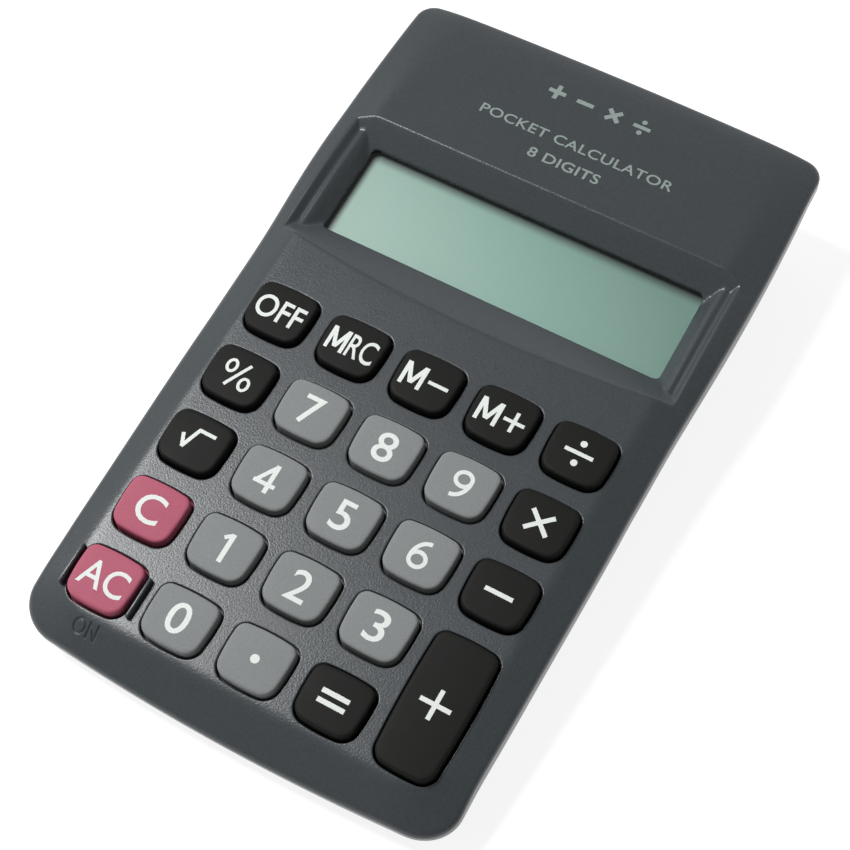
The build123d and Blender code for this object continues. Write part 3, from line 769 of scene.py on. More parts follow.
def plate(name, shapes, centre, surface, material, lift=0.022, sink=0.06, cell=0.7):
    """Thin closed print that lies on a surface: shapes are flat mesh data about centre."""
    bm = bmesh.new()
    for co, faces in shapes:
        made = [bm.verts.new((float(x), float(y), 0.0)) for x, y in co]
        for f in faces:
            try:
                bm.faces.new([made[i] for i in f])
            except ValueError:
                pass
    bmesh.ops.remove_doubles(bm, verts=bm.verts[:], dist=1e-4)
    xs = [v.co.x for v in bm.verts]
    ys = [v.co.y for v in bm.verts]
    for axis, (lo, hi) in enumerate(((min(xs), max(xs)), (min(ys), max(ys)))):
        n = int((hi - lo) / cell)
        for i in range(1, n + 1):
            c = lo + (hi - lo) * i / (n + 1)
            point, normal = [0, 0, 0], [0, 0, 0]
            point[axis], normal[axis] = c, 1
            geom = bm.verts[:] + bm.edges[:] + bm.faces[:]
            bmesh.ops.bisect_plane(bm, geom=geom, plane_co=point, plane_no=normal, dist=1e-5)
    for f in bm.faces:
        f.normal_update()
        if f.normal.z < 0:
            f.normal_flip()
    top = bm.faces[:]
    dup = bmesh.ops.duplicate(bm, geom=bm.verts[:] + bm.edges[:] + top)
    low_verts = [g for g in dup["geom"] if isinstance(g, bmesh.types.BMVert)]
    low_faces = [g for g in dup["geom"] if isinstance(g, bmesh.types.BMFace)]
    bmesh.ops.reverse_faces(bm, faces=low_faces)
    vmap = dup["vert_map"]
    low_set = set(low_verts)
    edges = [e for e in bm.edges if len(e.link_faces) == 1 and e.verts[0] not in low_set and e.verts[1] not in low_set]
    for e in edges:
        f = e.link_faces[0]
        a, b = e.verts
        loops = [lp.vert for lp in f.loops]
        i = loops.index(a)
        if loops[(i + 1) % len(loops)] != b:
            a, b = b, a
        bm.faces.new([b, a, vmap[a], vmap[b]])
    bm.verts.index_update()
    co = np.array([v.co[:2] for v in bm.verts])
    is_low = np.array([v in low_set for v in bm.verts])
    w = surface(co[:, 0] + centre[0], co[:, 1] + centre[1])
    w = np.where(is_low, w - sink, w + lift)
    faces = [tuple(v.index for v in f.verts) for f in bm.faces]
    bm.free()
    full = np.column_stack([co[:, 0] + centre[0], co[:, 1] + centre[1], w])
    return mesh_object(name, full, faces, material, smooth=False)


# ---------------------------------------------------------------- materials
def srgb(r, g, b):
    out = []
    for c in (r, g, b):
        c = c / 255
        out.append(c / 12.92 if c <= 0.04045 else ((c + 0.055) / 1.055) ** 2.4)
    return (*out, 1.0)


class Nodes:
    def __init__(self, name):
        self.mat = bpy.data.materials.new(name)
        self.mat.use_nodes = True
        self.tree = self.mat.node_tree
        self.tree.nodes.clear()
        self.out = self.add("ShaderNodeOutputMaterial")
        self.shader = self.add("ShaderNodeBsdfPrincipled")
        self.link(self.shader, "BSDF", self.out, "Surface")
        self.coords = self.add("ShaderNodeTexCoord")

    def add(self, kind, **values):
        node = self.tree.nodes.new(kind)
        for k, v in values.items():
            setattr(node, k, v)
        return node

    def link(self, a, out, b, into):
        self.tree.links.new(a.outputs[out], b.inputs[into])

    def mapped(self, scale, stretch=(1, 1, 1)):
        """Object coordinates, scaled so that 1 is about scale millimetres."""
        m = self.add("ShaderNodeMapping")
        for i in range(3):
            m.inputs["Scale"].default_value[i] = 1000.0 / scale * stretch[i]
        self.link(self.coords, "Object", m, "Vector")
        return m

    def noise(self, size_mm, detail=2.0, rough=0.5, stretch=(1, 1, 1)):
        m = self.mapped(size_mm, stretch)
        n = self.add("ShaderNodeTexNoise")
        n.inputs["Scale"].default_value = 1.0
        n.inputs["Detail"].default_value = detail
        n.inputs["Roughness"].default_value = rough
        self.link(m, "Vector", n, "Vector")
        return n

    def ramp(self, source, out, stops):
        r = self.add("ShaderNodeValToRGB")
        e = r.color_ramp.elements
        while len(e) < len(stops):
            e.new(0.5)
        for el, (p, c) in zip(e, stops):
            el.position, el.color = p, c
        self.link(source, out, r, "Fac")
        return r

    def spread(self, source, out, lo, hi):
        r = self.add("ShaderNodeMapRange", interpolation_type="SMOOTHSTEP")
        r.inputs["From Min"].default_value, r.inputs["From Max"].default_value = 0.15, 0.85
        r.inputs["To Min"].default_value, r.inputs["To Max"].default_value = lo, hi
        self.link(source, out, r, "Value")
        return r

    def bump(self, sources):
        """Chain of bumps: (node, output, strength, distance in millimetres)."""
        last = None
        for node, out, strength, mm in sources:
            b = self.add("ShaderNodeBump")
            b.inputs["Strength"].default_value = strength
            b.inputs["Distance"].default_value = mm / 1000
            self.link(node, out, b, "Height")
            if last is not None:
                self.link(last, "Normal", b, "Normal")
            last = b
        self.link(last, "Normal", self.shader, "Normal")


def shade(c, k):
    return (c[0] * k, c[1] * k, c[2] * k, 1.0)


def plastic(name, colour, rough=(0.4, 0.5), grain=0.22, depth=0.012, strength=0.5, blotch=0.06, spec=0.5, fine=None, coat=0.0):
    """Moulded plastic: spark-eroded grain, faint flow blotches and uneven gloss."""
    m = Nodes(name)
    big = m.noise(9.0, 3.0, 0.55)
    tint = m.ramp(big, "Fac", [(0.1, shade(colour, 1 - blotch)), (0.9, shade(colour, 1 + blotch))])
    speck = m.noise(grain * 1.3, 2.0, 0.6)
    mix = m.add("ShaderNodeMix", data_type="RGBA", blend_type="MULTIPLY")
    mix.inputs["Factor"].default_value = 1.0
    m.link(tint, "Color", mix, "A")
    sp = m.ramp(speck, "Fac", [(0.35, (0.93, 0.93, 0.93, 1)), (0.65, (1.07, 1.07, 1.07, 1))])
    m.link(sp, "Color", mix, "B")
    m.link(mix, "Result", m.shader, "Base Color")
    gloss = m.noise(3.5, 3.0)
    r = m.spread(gloss, "Fac", rough[0], rough[1])
    m.link(r, "Result", m.shader, "Roughness")
    m.shader.inputs["Specular IOR Level"].default_value = spec
    if coat:
        m.shader.inputs["Coat Weight"].default_value = coat
        m.shader.inputs["Coat Roughness"].default_value = 0.25
    g1 = m.noise(grain, 3.0, 0.6)
    m.bump([(g1, "Fac", strength, depth)])
    return m.mat


CASE = plastic("case_plastic", srgb(64, 69, 72), rough=(0.27, 0.29), grain=0.29, depth=0.034, strength=0.8, blotch=0.02, spec=0.37)
REAR = plastic("rear_plastic", srgb(60, 64, 67), rough=(0.38, 0.48), grain=0.30, depth=0.02, strength=0.6, blotch=0.04)
COVER = plastic("cover_plastic", srgb(56, 60, 63), rough=(0.38, 0.48), grain=0.30, depth=0.02, strength=0.6, blotch=0.04)
GREY_KEY = plastic("grey_key_plastic", srgb(131, 134, 134), rough=(0.50, 0.60), grain=0.16, depth=0.008, strength=0.35, blotch=0.02, spec=0.12)
BLACK_KEY = plastic("black_key_plastic", srgb(29, 30, 28), rough=(0.50, 0.55), grain=0.16, depth=0.012, strength=0.5, blotch=0.04, spec=0.085)
RED_KEY = plastic("red_key_plastic", srgb(176, 92, 112), rough=(0.50, 0.60), grain=0.16, depth=0.010, strength=0.4, blotch=0.03, spec=0.12)
PRINT = plastic("white_print", srgb(224, 229, 226), rough=(0.5, 0.6), grain=0.12, depth=0.004, strength=0.3, blotch=0.02, spec=0.2)
PALE_PRINT = plastic("pale_print", srgb(138, 150, 146), rough=(0.5, 0.6), grain=0.12, depth=0.004, strength=0.3, blotch=0.03, spec=0.2)
SILICONE = plastic("silicone_rubber", srgb(150, 152, 150), rough=(0.55, 0.7), grain=0.5, depth=0.02, strength=0.4)
CARBON = plastic("carbon_pill", srgb(24, 24, 25), rough=(0.7, 0.85), grain=0.2, depth=0.02, strength=0.6)
RESIN = plastic("resin_drop", srgb(18, 18, 19), rough=(0.12, 0.22), grain=2.0, depth=0.04, strength=0.3)
CAN = plastic("component_can_skin", srgb(32, 40, 66), rough=(0.28, 0.4), grain=0.4, depth=0.01, strength=0.3)
CHIP = plastic("component_body_skin", srgb(60, 50, 44), rough=(0.3, 0.45), grain=0.25, depth=0.01, strength=0.4)
RED_WIRE = plastic("red_insulation_skin", srgb(170, 30, 28), rough=(0.35, 0.5), grain=0.3, depth=0.01, strength=0.3)
BLACK_WIRE = plastic("black_insulation_skin", srgb(26, 26, 27), rough=(0.35, 0.5), grain=0.3, depth=0.01, strength=0.3)


def metal(name, colour, rough=(0.2, 0.34), stretch=(6, 1, 1), size=0.5):
    m = Nodes(name)
    m.shader.inputs["Metallic"].default_value = 1.0
    n = m.noise(size, 4.0, 0.6, stretch)
    t = m.ramp(n, "Fac", [(0.3, shade(colour, 0.86)), (0.7, shade(colour, 1.06))])
    m.link(t, "Color", m.shader, "Base Color")
    g = m.noise(4.0, 3.0)
    r = m.spread(g, "Fac", rough[0], rough[1])
    m.link(r, "Result", m.shader, "Roughness")
    m.bump([(n, "Fac", 0.3, 0.01)])
    return m.mat


SPRING = metal("plated_spring_steel", srgb(196, 196, 190))
SCREW = metal("zinc_screw_steel", srgb(176, 178, 180), (0.26, 0.42), (1, 1, 1), 0.35)


def circuit():
    """Green solder resist over faint copper runs."""
    m = Nodes("circuit_board_resist")
    mp = m.mapped(2.6)
    br = m.add("ShaderNodeTexBrick")
    br.inputs["Color1"].default_value = srgb(30, 84, 52)
    br.inputs["Color2"].default_value = srgb(34, 92, 58)
    br.inputs["Mortar"].default_value = srgb(52, 120, 74)
    br.inputs["Scale"].default_value = 1.0
    br.inputs["Mortar Size"].default_value = 0.06
    m.link(mp, "Vector", br, "Vector")
    m.link(br, "Color", m.shader, "Base Color")
    g = m.noise(2.0, 3.0)
    r = m.spread(g, "Fac", 0.22, 0.38)
    m.link(r, "Result", m.shader, "Roughness")
    m.bump([(br, "Fac", 0.4, 0.03), (g, "Fac", 0.2, 0.02)])
    return m.mat


def cell_jacket():
    """Plain two-tone battery sleeve with bare steel ends, split along its length."""
    m = Nodes("cell_sleeve")
    mp = m.mapped(1.0)
    sep = m.add("ShaderNodeSeparateXYZ")
    m.link(mp, "Vector", sep, "Vector")
    rng = m.add("ShaderNodeMapRange")
    rng.inputs["From Min"].default_value, rng.inputs["From Max"].default_value = -27.0, 27.0
    m.link(sep, "X", rng, "Value")
    ramp = m.add("ShaderNodeValToRGB")
    ramp.color_ramp.interpolation = "CONSTANT"
    stops = [(0.0, srgb(190, 190, 186)), (0.062, srgb(28, 30, 34)), (0.70, srgb(176, 120, 44)), (0.945, srgb(190, 190, 186))]
    e = ramp.color_ramp.elements
    while len(e) < len(stops):
        e.new(0.5)
    for el, (p, c) in zip(e, stops):
        el.position, el.color = p, c
    m.link(rng, "Result", ramp, "Fac")
    grain = m.noise(0.8, 3.0, 0.6, (4, 1, 1))
    mix = m.add("ShaderNodeMix", data_type="RGBA", blend_type="MULTIPLY")
    mix.inputs["Factor"].default_value = 1.0
    g = m.ramp(grain, "Fac", [(0.3, (0.93, 0.93, 0.93, 1)), (0.7, (1.05, 1.05, 1.05, 1))])
    m.link(ramp, "Color", mix, "A")
    m.link(g, "Color", mix, "B")
    m.link(mix, "Result", m.shader, "Base Color")
    metalness = m.add("ShaderNodeValToRGB")
    metalness.color_ramp.interpolation = "CONSTANT"
    e = metalness.color_ramp.elements
    stops = [(0.0, (1, 1, 1, 1)), (0.062, (0.35, 0.35, 0.35, 1)), (0.945, (1, 1, 1, 1))]
    while len(e) < len(stops):
        e.new(0.5)
    for el, (p, c) in zip(e, stops):
        el.position, el.color = p, c
    m.link(rng, "Result", metalness, "Fac")
    m.link(metalness, "Color", m.shader, "Metallic")
    r = m.spread(grain, "Fac", 0.22, 0.34)
    m.link(r, "Result", m.shader, "Roughness")
    m.bump([(grain, "Fac", 0.2, 0.01)])
    return m.mat


def pane():
    """Clear acrylic window, almost invisible but for its gloss."""
    m = Nodes("clear_acrylic")
    n = m.noise(30.0, 0.0)
    t = m.ramp(n, "Fac", [(0.2, srgb(196, 208, 202)), (0.8, srgb(200, 211, 206))])
    m.link(t, "Color", m.shader, "Base Color")
    r = m.spread(n, "Fac", 0.075, 0.085)
    m.link(r, "Result", m.shader, "Roughness")
    m.shader.inputs["Alpha"].default_value = 0.02
    m.shader.inputs["Specular IOR Level"].default_value = 0.4
    return m.mat


def display_film():
    """Reflective display seen through its film: pale green, with painted shade that darkens it towards the far right
    corner and a painted shadow of the window's walls along its left and far edges.
    """
    m = Nodes("display_film")
    mp = m.mapped(1.0)
    sep = m.add("ShaderNodeSeparateXYZ")
    m.link(mp, "Vector", sep, "Vector")
    # painted shade: the film's colour darkens towards the right and the far end, standing in for how the light and
    # viewing angle fall across the display
    grad = m.add("ShaderNodeMath", operation="MULTIPLY_ADD")
    grad.inputs[1].default_value = 1.0 / 58.0
    grad.inputs[2].default_value = 0.5
    m.link(sep, "X", grad, 0)
    g2 = m.add("ShaderNodeMath", operation="MULTIPLY_ADD")
    g2.inputs[1].default_value = 0.012
    g2.inputs[2].default_value = -0.27
    m.link(sep, "Y", g2, 0)
    painted_shade_gradient = m.add("ShaderNodeMath", operation="ADD")
    m.link(grad, 0, painted_shade_gradient, 0)
    m.link(g2, 0, painted_shade_gradient, 1)
    ramp = m.ramp(painted_shade_gradient, 0, [(0.0, srgb(159, 187, 176)), (0.5, srgb(132, 168, 156)), (1.0, srgb(106, 141, 129))])
    grain = m.noise(0.5, 3.0, 0.7)
    mix = m.add("ShaderNodeMix", data_type="RGBA", blend_type="MULTIPLY")
    mix.inputs["Factor"].default_value = 1.0
    g = m.ramp(grain, "Fac", [(0.35, (0.975, 0.98, 0.975, 1)), (0.65, (1.02, 1.015, 1.02, 1))])
    m.link(ramp, "Color", mix, "A")
    m.link(g, "Color", mix, "B")
    # painted shadow: the colour falls to near black along the left and far edges, where the window's walls shade the
    # display
    painted_shadow_left = m.add("ShaderNodeMapRange", interpolation_type="SMOOTHSTEP")
    painted_shadow_left.inputs["From Min"].default_value, painted_shadow_left.inputs["From Max"].default_value = -27.35, -26.1
    painted_shadow_left.inputs["To Min"].default_value, painted_shadow_left.inputs["To Max"].default_value = 0.03, 1.0
    m.link(sep, "X", painted_shadow_left, "Value")
    painted_shadow_far = m.add("ShaderNodeMapRange", interpolation_type="SMOOTHSTEP")
    painted_shadow_far.inputs["From Min"].default_value, painted_shadow_far.inputs["From Max"].default_value = 31.1, 28.95
    painted_shadow_far.inputs["To Min"].default_value, painted_shadow_far.inputs["To Max"].default_value = 0.03, 1.0
    m.link(sep, "Y", painted_shadow_far, "Value")
    dark = m.add("ShaderNodeMath", operation="MULTIPLY")
    m.link(painted_shadow_left, "Result", dark, 0)
    m.link(painted_shadow_far, "Result", dark, 1)
    shaded = m.add("ShaderNodeVectorMath", operation="SCALE")
    m.link(mix, "Result", shaded, 0)
    m.link(dark, 0, shaded, "Scale")
    m.link(shaded, "Vector", m.shader, "Base Color")
    r = m.spread(grain, "Fac", 0.5, 0.62)
    m.link(r, "Result", m.shader, "Roughness")
    m.bump([(grain, "Fac", 0.15, 0.006)])
    return m.mat


def glass_sheet(name, colour, alpha=1.0):
    m = Nodes(name)
    n = m.noise(5.0, 2.0)
    t = m.ramp(n, "Fac", [(0.3, shade(colour, 0.95)), (0.7, shade(colour, 1.04))])
    m.link(t, "Color", m.shader, "Base Color")
    r = m.spread(n, "Fac", 0.06, 0.14)
    m.link(r, "Result", m.shader, "Roughness")
    m.shader.inputs["Alpha"].default_value = alpha
    return m.mat


def striped_ribbon():
    """Amber film with fine dark conductors."""
    m = Nodes("display_ribbon")
    mp = m.mapped(1.0)
    wave = m.add("ShaderNodeTexWave", wave_type="BANDS", bands_direction="X")
    wave.inputs["Scale"].default_value = 0.32
    wave.inputs["Distortion"].default_value = 0.0
    m.link(mp, "Vector", wave, "Vector")
    t = m.ramp(wave, "Fac", [(0.4, srgb(186, 142, 74)), (0.6, srgb(92, 64, 40))])
    m.link(t, "Color", m.shader, "Base Color")
    n = m.noise(1.5, 2.0)
    r = m.spread(n, "Fac", 0.25, 0.4)
    m.link(r, "Result", m.shader, "Roughness")
    m.bump([(wave, "Fac", 0.3, 0.02)])
    return m.mat


NODE_MATERIALS = {
    "rear_case": REAR, "battery_cover": COVER, "display_window": pane(), "lcd_polariser": display_film(),
    "lcd_front_glass": glass_sheet("front_glass", srgb(150, 178, 168), 0.55),
    "lcd_rear_glass": glass_sheet("rear_glass", srgb(146, 172, 164), 0.6),
    "lcd_reflector": metal("silvered_reflector", srgb(184, 190, 186), (0.35, 0.5), (1, 1, 1), 0.3),
    "lcd_ribbon": striped_ribbon(), "key_mat": SILICONE, "contact_pills": CARBON, "circuit_board": circuit(),
    "chip_cover": RESIN, "capacitors": CAN, "resistors": CHIP, "battery_cell": cell_jacket(),
    "positive_contact": SPRING, "negative_contact": SPRING, "contact_spring": SPRING,
    "red_wire": RED_WIRE, "black_wire": BLACK_WIRE, "board_screws": SCREW, "case_screws": SCREW,
}
for name, mat in NODE_MATERIALS.items():
    mesh = nodes[name].data
    mesh.materials.clear()
    mesh.materials.append(mat)

# ---------------------------------------------------------------- pieces that replace CAD nodes
shell = build_front_case(CASE)
for side in (-1, 1):
    add_guard(shell, -24 + side * 5.46)
for u, v in [(-18, 17.25), (18, 17.25), (-18, 40.25), (18, 40.25), (-6, 5.75), (6, 5.75)]:
    add_post(shell, u, v, 1.7, 0.62, -6.4, -2.2, 2.9)
for u, v in [(-28.7, -7.2), (28.7, -7.2)]:
    add_post(shell, u, v, 2.0, 0.75, BAND, -4.4, 2.9)
for u, v in [(-28.6, 54.9), (28.6, 54.9)]:
    add_post(shell, u, v, 2.0, 0.75, BAND, -2.2, 2.9)
for u, v in [(-20.0, 82.6), (20.0, 82.6)]:
    add_post(shell, u, v, 2.0, 0.75, BAND, -3.7, 2.9)
front = mesh_object("front_shell", shell.all_points(), shell.faces, CASE)
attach(front, "case")
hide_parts("front_case")



def leaning_rear(name, node, material):
    """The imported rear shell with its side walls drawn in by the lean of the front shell's lower edge."""
    mesh = nodes[node].data.copy()
    mesh.name = name
    co = np.array([v.co for v in mesh.vertices], float) * 1000
    u = co[:, 0]
    y, z = co[:, 1] - FACE_Y, co[:, 2] - FACE_Z
    v, w = y * CT + z * ST, -y * ST + z * CT
    line, line_n = case_outline()
    gap = np.hypot(u[:, None] - line[None, :, 0], v[:, None] - line[None, :, 1])
    share = np.exp(-(gap - gap.min(axis=1, keepdims=True)) / 0.6)    # turns smoothly round the corners
    n = share @ line_n
    n = n / np.maximum(1e-6, np.hypot(n[:, 0], n[:, 1]))[:, None]
    d = near(line, u, v)
    wall = 0.08 + 0.231 * np.maximum(0, -8.0 - w)
    f = 1 - smoothstep(wall + 1.75, wall + 5.0, d)
    f = f * lean(n[:, 1]) * LOWER_INSET
    f = np.where(w > -7.9, np.minimum(f, 0.9), f)
    outer = 1 - smoothstep(0.35, 1.0, d - wall)
    for su, sv in [(-28.7, -7.2), (28.7, -7.2), (-28.6, 54.9), (28.6, 54.9)]:    # the screw holes stay round
        f = f * np.maximum(outer, smoothstep(3.3, 3.9, np.hypot(u - su, v - sv)))
    u2, v2 = u - n[:, 0] * f, v - n[:, 1] * f
    out = place(np.column_stack([u2, v2, w]))
    # the floor keeps its height above the table
    out[:, 2] = np.where(co[:, 2] < 1.6, co[:, 2] / 1000, out[:, 2])
    mesh.vertices.foreach_set("co", out.astype(np.float32).ravel())
    mesh.update()
    obj = bpy.data.objects.new(name, mesh)
    scene.collection.objects.link(obj)
    mesh.materials.clear()
    mesh.materials.append(material)
    return obj


def raised_pane(name, node):
    """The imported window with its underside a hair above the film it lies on."""
    mesh = nodes[node].data.copy()
    mesh.name = name
    co = np.array([v.co for v in mesh.vertices], float) * 1000
    y, z = co[:, 1] - FACE_Y, co[:, 2] - FACE_Z
    v, w = y * CT + z * ST, -y * ST + z * CT
    w = np.where(w < -5.7, -5.78, w)
    mesh.vertices.foreach_set("co", place(np.column_stack([co[:, 0], v, w])).astype(np.float32).ravel())
    mesh.update()
    obj = bpy.data.objects.new(name, mesh)
    scene.collection.objects.link(obj)
    return obj


window = raised_pane("clear_window", "display_window")
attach(window, "case")
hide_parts("display_window")

rear = leaning_rear("rear_shell", "rear_case", REAR)
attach(rear, "case")
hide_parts("rear_case")

KEY_LOOK = {
    "black": (BLACK_KEY, "black_key", ("key_off", "key_mrc", "key_m_minus", "key_m_plus", "key_divide", "key_percent",
                                       "key_multiply", "key_root", "key_minus", "key_plus", "key_equals")),
    "red": (RED_KEY, "red_key", ("key_clear", "key_all_clear")),
}


def look_of(name):
    for mat, slot, names in KEY_LOOK.values():
        if name in names:
            return mat, slot
    return GREY_KEY, "grey_key"


def root_sign():
    a, b, c, d = (-2.05, 0.45), (-1.22, -1.40), (-0.10, 1.72), (2.50, 1.70)
    return stroke_union([bar(a, b, 0.54, (0, 0.12)), bar(b, c, 0.56, (0.14, 0.14)), bar(c, d, 0.54, (0.16, 0))])


def point_sign():
    return stroke_union([disc(0, 0, 0.65)])


def divide_sign():
    return stroke_union([quad(-2.15, -0.29, 2.15, 0.29), disc(0, 1.55, 0.5), disc(0, -1.55, 0.5)])


def times_sign(w=3.8, h=3.5, t=0.66):
    x, y = w / 2 - t * 0.33, h / 2 - t * 0.33
    return stroke_union([bar((-x, -y), (x, y), t), bar((-x, y), (x, -y), t)])


def plus_sign(w=4.55, h=4.4, t=0.65):
    return stroke_union([quad(-w / 2, -t / 2, w / 2, t / 2), quad(-t / 2, -h / 2, t / 2, h / 2)])


def letter_m(w=3.4, h=3.7, t=0.62):
    """Two stems and a deep vee."""
    x, y = w / 2, h / 2
    k = t * 1.12
    return stroke_union([
        quad(-x, -y, -x + t, y), quad(x - t, -y, x, y),
        np.array([(-x, y), (-k / 2, -y + 0.55), (k / 2, -y + 0.55), (-x + k, y)]),
        np.array([(x, y), (x - k, y), (-k / 2, -y + 0.55), (k / 2, -y + 0.55)]),
    ])


def oval(x, y, rx, ry, t, n=40):
    """Outer and inner loops of an oval stroke of thickness t."""
    a = np.linspace(0, 2 * math.pi, n, endpoint=False)
    return (np.column_stack([x + rx * np.cos(a), y + ry * np.sin(a)]),
            np.column_stack([x + (rx - t) * np.cos(a), y + (ry - t) * np.sin(a)]))


def percent_sign():
    return stroke_union([bar((-1.12, -2.1), (1.12, 2.1), 0.48)],
                        [oval(-1.5, 0.98, 0.92, 1.15, 0.45), oval(1.5, -0.98, 0.92, 1.15, 0.45)])


def four_sign():
    return stroke_union([quad(0.26, -2.25, 0.94, 2.25), quad(-1.75, -1.26, 1.62, -0.66), bar((-1.38, -0.97), (0.52, 1.96), 0.6)])


def nine_sign():
    a = np.linspace(0, math.pi / 2, 14)
    tail = polyline([(-0.95 + 2.13 * math.cos(t), 0.60 - 2.50 * math.sin(t)) for t in a], 0.6)
    return stroke_union([tail], [oval(0.0, 0.82, 1.48, 1.38, 0.6)])


def six_sign():
    co, faces = nine_sign()
    return -co, faces


def moved(shape, dx, dy):
    co, faces = shape
    return co + [dx, dy], faces


LEGENDS = {
    "key_off": [text_polygons("OFF", 7.5, 3.7, 0.012)],
    "key_mrc": [moved(letter_m(2.95, 3.7, 0.56), -2.28, 0), moved(text_polygons("RC", 4.25, 3.75, 0.008), 1.63, 0)],
    "key_m_minus": [moved(letter_m(), -1.95, 0), moved(stroke_union([quad(-1.55, -0.27, 1.55, 0.27)]), 1.95, 0)],
    "key_m_plus": [moved(letter_m(), -1.95, 0), moved(plus_sign(3.2, 3.2, 0.54), 1.95, 0)],
    "key_divide": [divide_sign()],
    "key_percent": [percent_sign()],
    "key_multiply": [times_sign()],
    "key_root": [root_sign()],
    "key_minus": [stroke_union([quad(-2.1, -0.325, 2.1, 0.325)])],
    "key_clear": [text_polygons("C", 4.0, 4.4, 0.008)],
    "key_all_clear": [text_polygons("AC", 7.0, 4.0, 0.008)],
    "key_point": [point_sign()],
    "key_equals": [stroke_union([quad(-2.05, 0.35, 2.05, 1.05), quad(-2.05, -1.05, 2.05, -0.35)])],
    "key_plus": [plus_sign()],
}
DIGIT_WIDTH = {"0": 3.05, "1": 1.55, "2": 2.9, "3": 2.75, "4": 3.2, "5": 2.75, "6": 2.95, "7": 2.95, "8": 3.0, "9": 2.95}


def one_sign():
    """Upright with a short flag."""
    return stroke_union([np.array([(0.05, -2.2), (0.77, -2.2), (0.77, 2.2), (0.15, 2.2), (-0.85, 1.45), (-0.50, 0.98), (0.05, 1.40)])])


for name, (u, v, extra) in SPOTS.items():
    mat, slot = look_of(name)
    b = build_key(u, v, extra)
    cap = mesh_object("cap_" + name[4:], b.all_points(), b.faces, mat)
    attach(cap, name)
    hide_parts(name)
    tag = name[4:]
    if tag in DIGIT_WIDTH:
        drawn = {"1": one_sign, "4": four_sign, "6": six_sign, "9": nine_sign}
        shapes = [drawn[tag]()] if tag in drawn else [text_polygons(tag, DIGIT_WIDTH[tag] * 1.04, 4.55, 0.008)]
    else:
        shapes = LEGENDS[name]
    print_piece = plate(
        "legend_" + tag, shapes, (u, v),
        lambda x, y, u=u, v=v, extra=extra: crown(x - u, y - v, extra), PRINT,
    )
    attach(print_piece, name)

# header prints: a row of the four signs, and a plain description
signs = [moved(plus_sign(2.8, 2.7, 0.72), -7.1, 0), moved(stroke_union([quad(-1.4, -0.36, 1.4, 0.36)]), -2.4, 0),
         moved(times_sign(2.6, 2.5, 0.72), 2.4, 0),
         moved(stroke_union([quad(-1.4, -0.32, 1.4, 0.32), disc(0, 1.05, 0.42), disc(0, -1.05, 0.42)]), 7.1, 0)]
header = [
    ("print_signs", signs, (0, 99.2), PALE_PRINT),
    ("print_caption", [text_polygons("POCKET CALCULATOR", 32.0, 1.75, 0.012, 1.06)], (0, 91.4), PALE_PRINT),
    ("print_digits", [text_polygons("8 DIGITS", 11.8, 1.8, 0.016, 1.05)], (0, 87.5), PALE_PRINT),
]
for name, shapes, centre, mat in header:
    piece = plate(name, shapes, centre, shell_height, mat, lift=0.02, sink=0.05, cell=0.9)
    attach(piece, "case")

# ---------------------------------------------------------------- floor, light, camera
def stage_floor():
    m = Nodes("studio_floor")
    n = m.noise(60.0, 2.0)
    t = m.ramp(n, "Fac", [(0.3, (0.44, 0.44, 0.44, 1)), (0.7, (0.45, 0.45, 0.45, 1))])
    m.link(t, "Color", m.shader, "Base Color")
    m.shader.inputs["Roughness"].default_value = 0.9
    m.shader.inputs["Specular IOR Level"].default_value = 0.1
    m.shader.inputs["Emission Color"].default_value = (1, 1, 1, 1)
    m.shader.inputs["Emission Strength"].default_value = 0.84
    mesh = bpy.data.meshes.new("studio_floor")
    s = 6.0
    mesh.from_pydata([(-s, -s, 0), (s, -s, 0), (s, s, 0), (-s, s, 0)], [], [(0, 1, 2, 3)])
    obj = bpy.data.objects.new("studio_floor", mesh)
    scene.collection.objects.link(obj)
    mesh.materials.append(m.mat)
    obj.location.z = -0.0002


stage_floor()


def area_light(name, location, target, size, power, colour=(1, 1, 1)):
    data = bpy.data.lights.new(name, "AREA")
    data.shape = "RECTANGLE"
    data.size, data.size_y = size
    data.energy = power
    data.color = colour
    obj = bpy.data.objects.new(name, data)
    scene.collection.objects.link(obj)
    obj.location = location
    obj.rotation_mode = "QUATERNION"
    obj.rotation_quaternion = (Vector(target) - Vector(location)).to_track_quat("-Z", "Y")
    return obj


def toward(d, distance):
    """Point at a distance from the middle of the deck in a deck-frame direction."""
    middle = Vector(place([(0, 45, 0)])[0])
    return middle + turn(d).normalized() * distance, middle


spot_at, spot_on = toward((-0.50, 0.05, 0.86), 0.70)
area_light("key_softbox", spot_at, spot_on, (0.21, 0.21), 4.7)

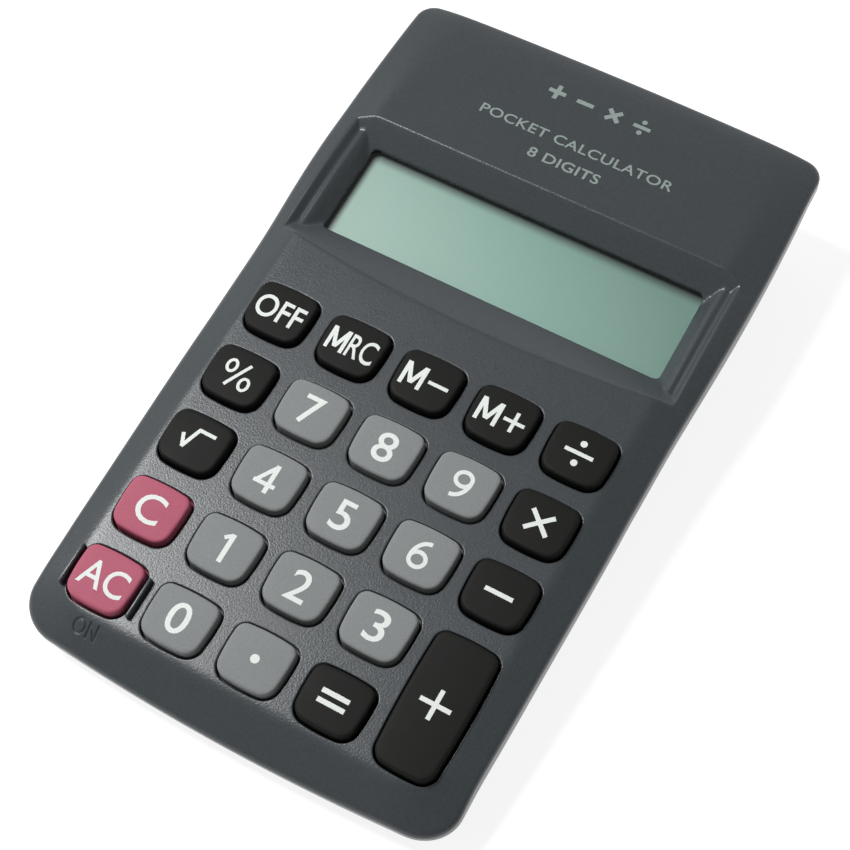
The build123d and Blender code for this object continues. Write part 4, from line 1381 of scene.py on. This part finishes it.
world = bpy.data.worlds.new("studio")
scene.world = world
world.use_nodes = True
wt = world.node_tree
background = wt.nodes["Background"]
background.inputs["Strength"].default_value = 1.0
tc = wt.nodes.new("ShaderNodeTexCoord")
sx = wt.nodes.new("ShaderNodeSeparateXYZ")
wr = wt.nodes.new("ShaderNodeValToRGB")
wt.links.new(tc.outputs["Generated"], sx.inputs["Vector"])
wt.links.new(sx.outputs["Z"], wr.inputs["Fac"])
dot = wt.nodes.new("ShaderNodeVectorMath")
dot.operation = "DOT_PRODUCT"
dot.inputs[1].default_value = (-0.6, 0.8, 0.0)
side_range = wt.nodes.new("ShaderNodeMapRange")
side_range.interpolation_type = "SMOOTHSTEP"
side_range.inputs["From Min"].default_value, side_range.inputs["From Max"].default_value = -0.75, 0.35
side_range.inputs["To Min"].default_value, side_range.inputs["To Max"].default_value = 0.22, 1.0
shade_mix = wt.nodes.new("ShaderNodeVectorMath")
shade_mix.operation = "SCALE"
wt.links.new(tc.outputs["Generated"], dot.inputs[0])
wt.links.new(dot.outputs["Value"], side_range.inputs["Value"])
wt.links.new(wr.outputs["Color"], shade_mix.inputs[0])
wt.links.new(side_range.outputs["Result"], shade_mix.inputs["Scale"])
wt.links.new(shade_mix.outputs["Vector"], background.inputs["Color"])
stops = [(0.0, 0.95), (0.30, 0.90), (0.55, 0.52), (0.80, 0.185), (0.92, 0.105), (1.0, 0.09)]
els = wr.color_ramp.elements
while len(els) < len(stops):
    els.new(0.5)
for el, (p, c) in zip(els, stops):
    el.position, el.color = p, (c, c, c, 1)

scene.view_settings.view_transform = "Standard"
scene.view_settings.look = "None"

cam_data = bpy.data.cameras.new("camera")
cam_data.lens = 80.5085
cam_data.sensor_width = 36.0
cam_data.clip_start, cam_data.clip_end = 0.02, 20.0
camera = bpy.data.objects.new("camera", cam_data)
scene.collection.objects.link(camera)
right = turn((0.87020311, 0.48867604, -0.06278746))
down = turn((0.42021972, -0.80267885, -0.42322813))
ahead = turn((-0.25721961, 0.34190991, -0.90384494))
at = place([(70.80628659, -49.83793404, 237.4397776)])[0]
camera.matrix_world = Matrix((
    (right.x, -down.x, -ahead.x, at[0]),
    (right.y, -down.y, -ahead.y, at[1]),
    (right.z, -down.z, -ahead.z, at[2]),
    (0, 0, 0, 1),
))
scene.camera = camera
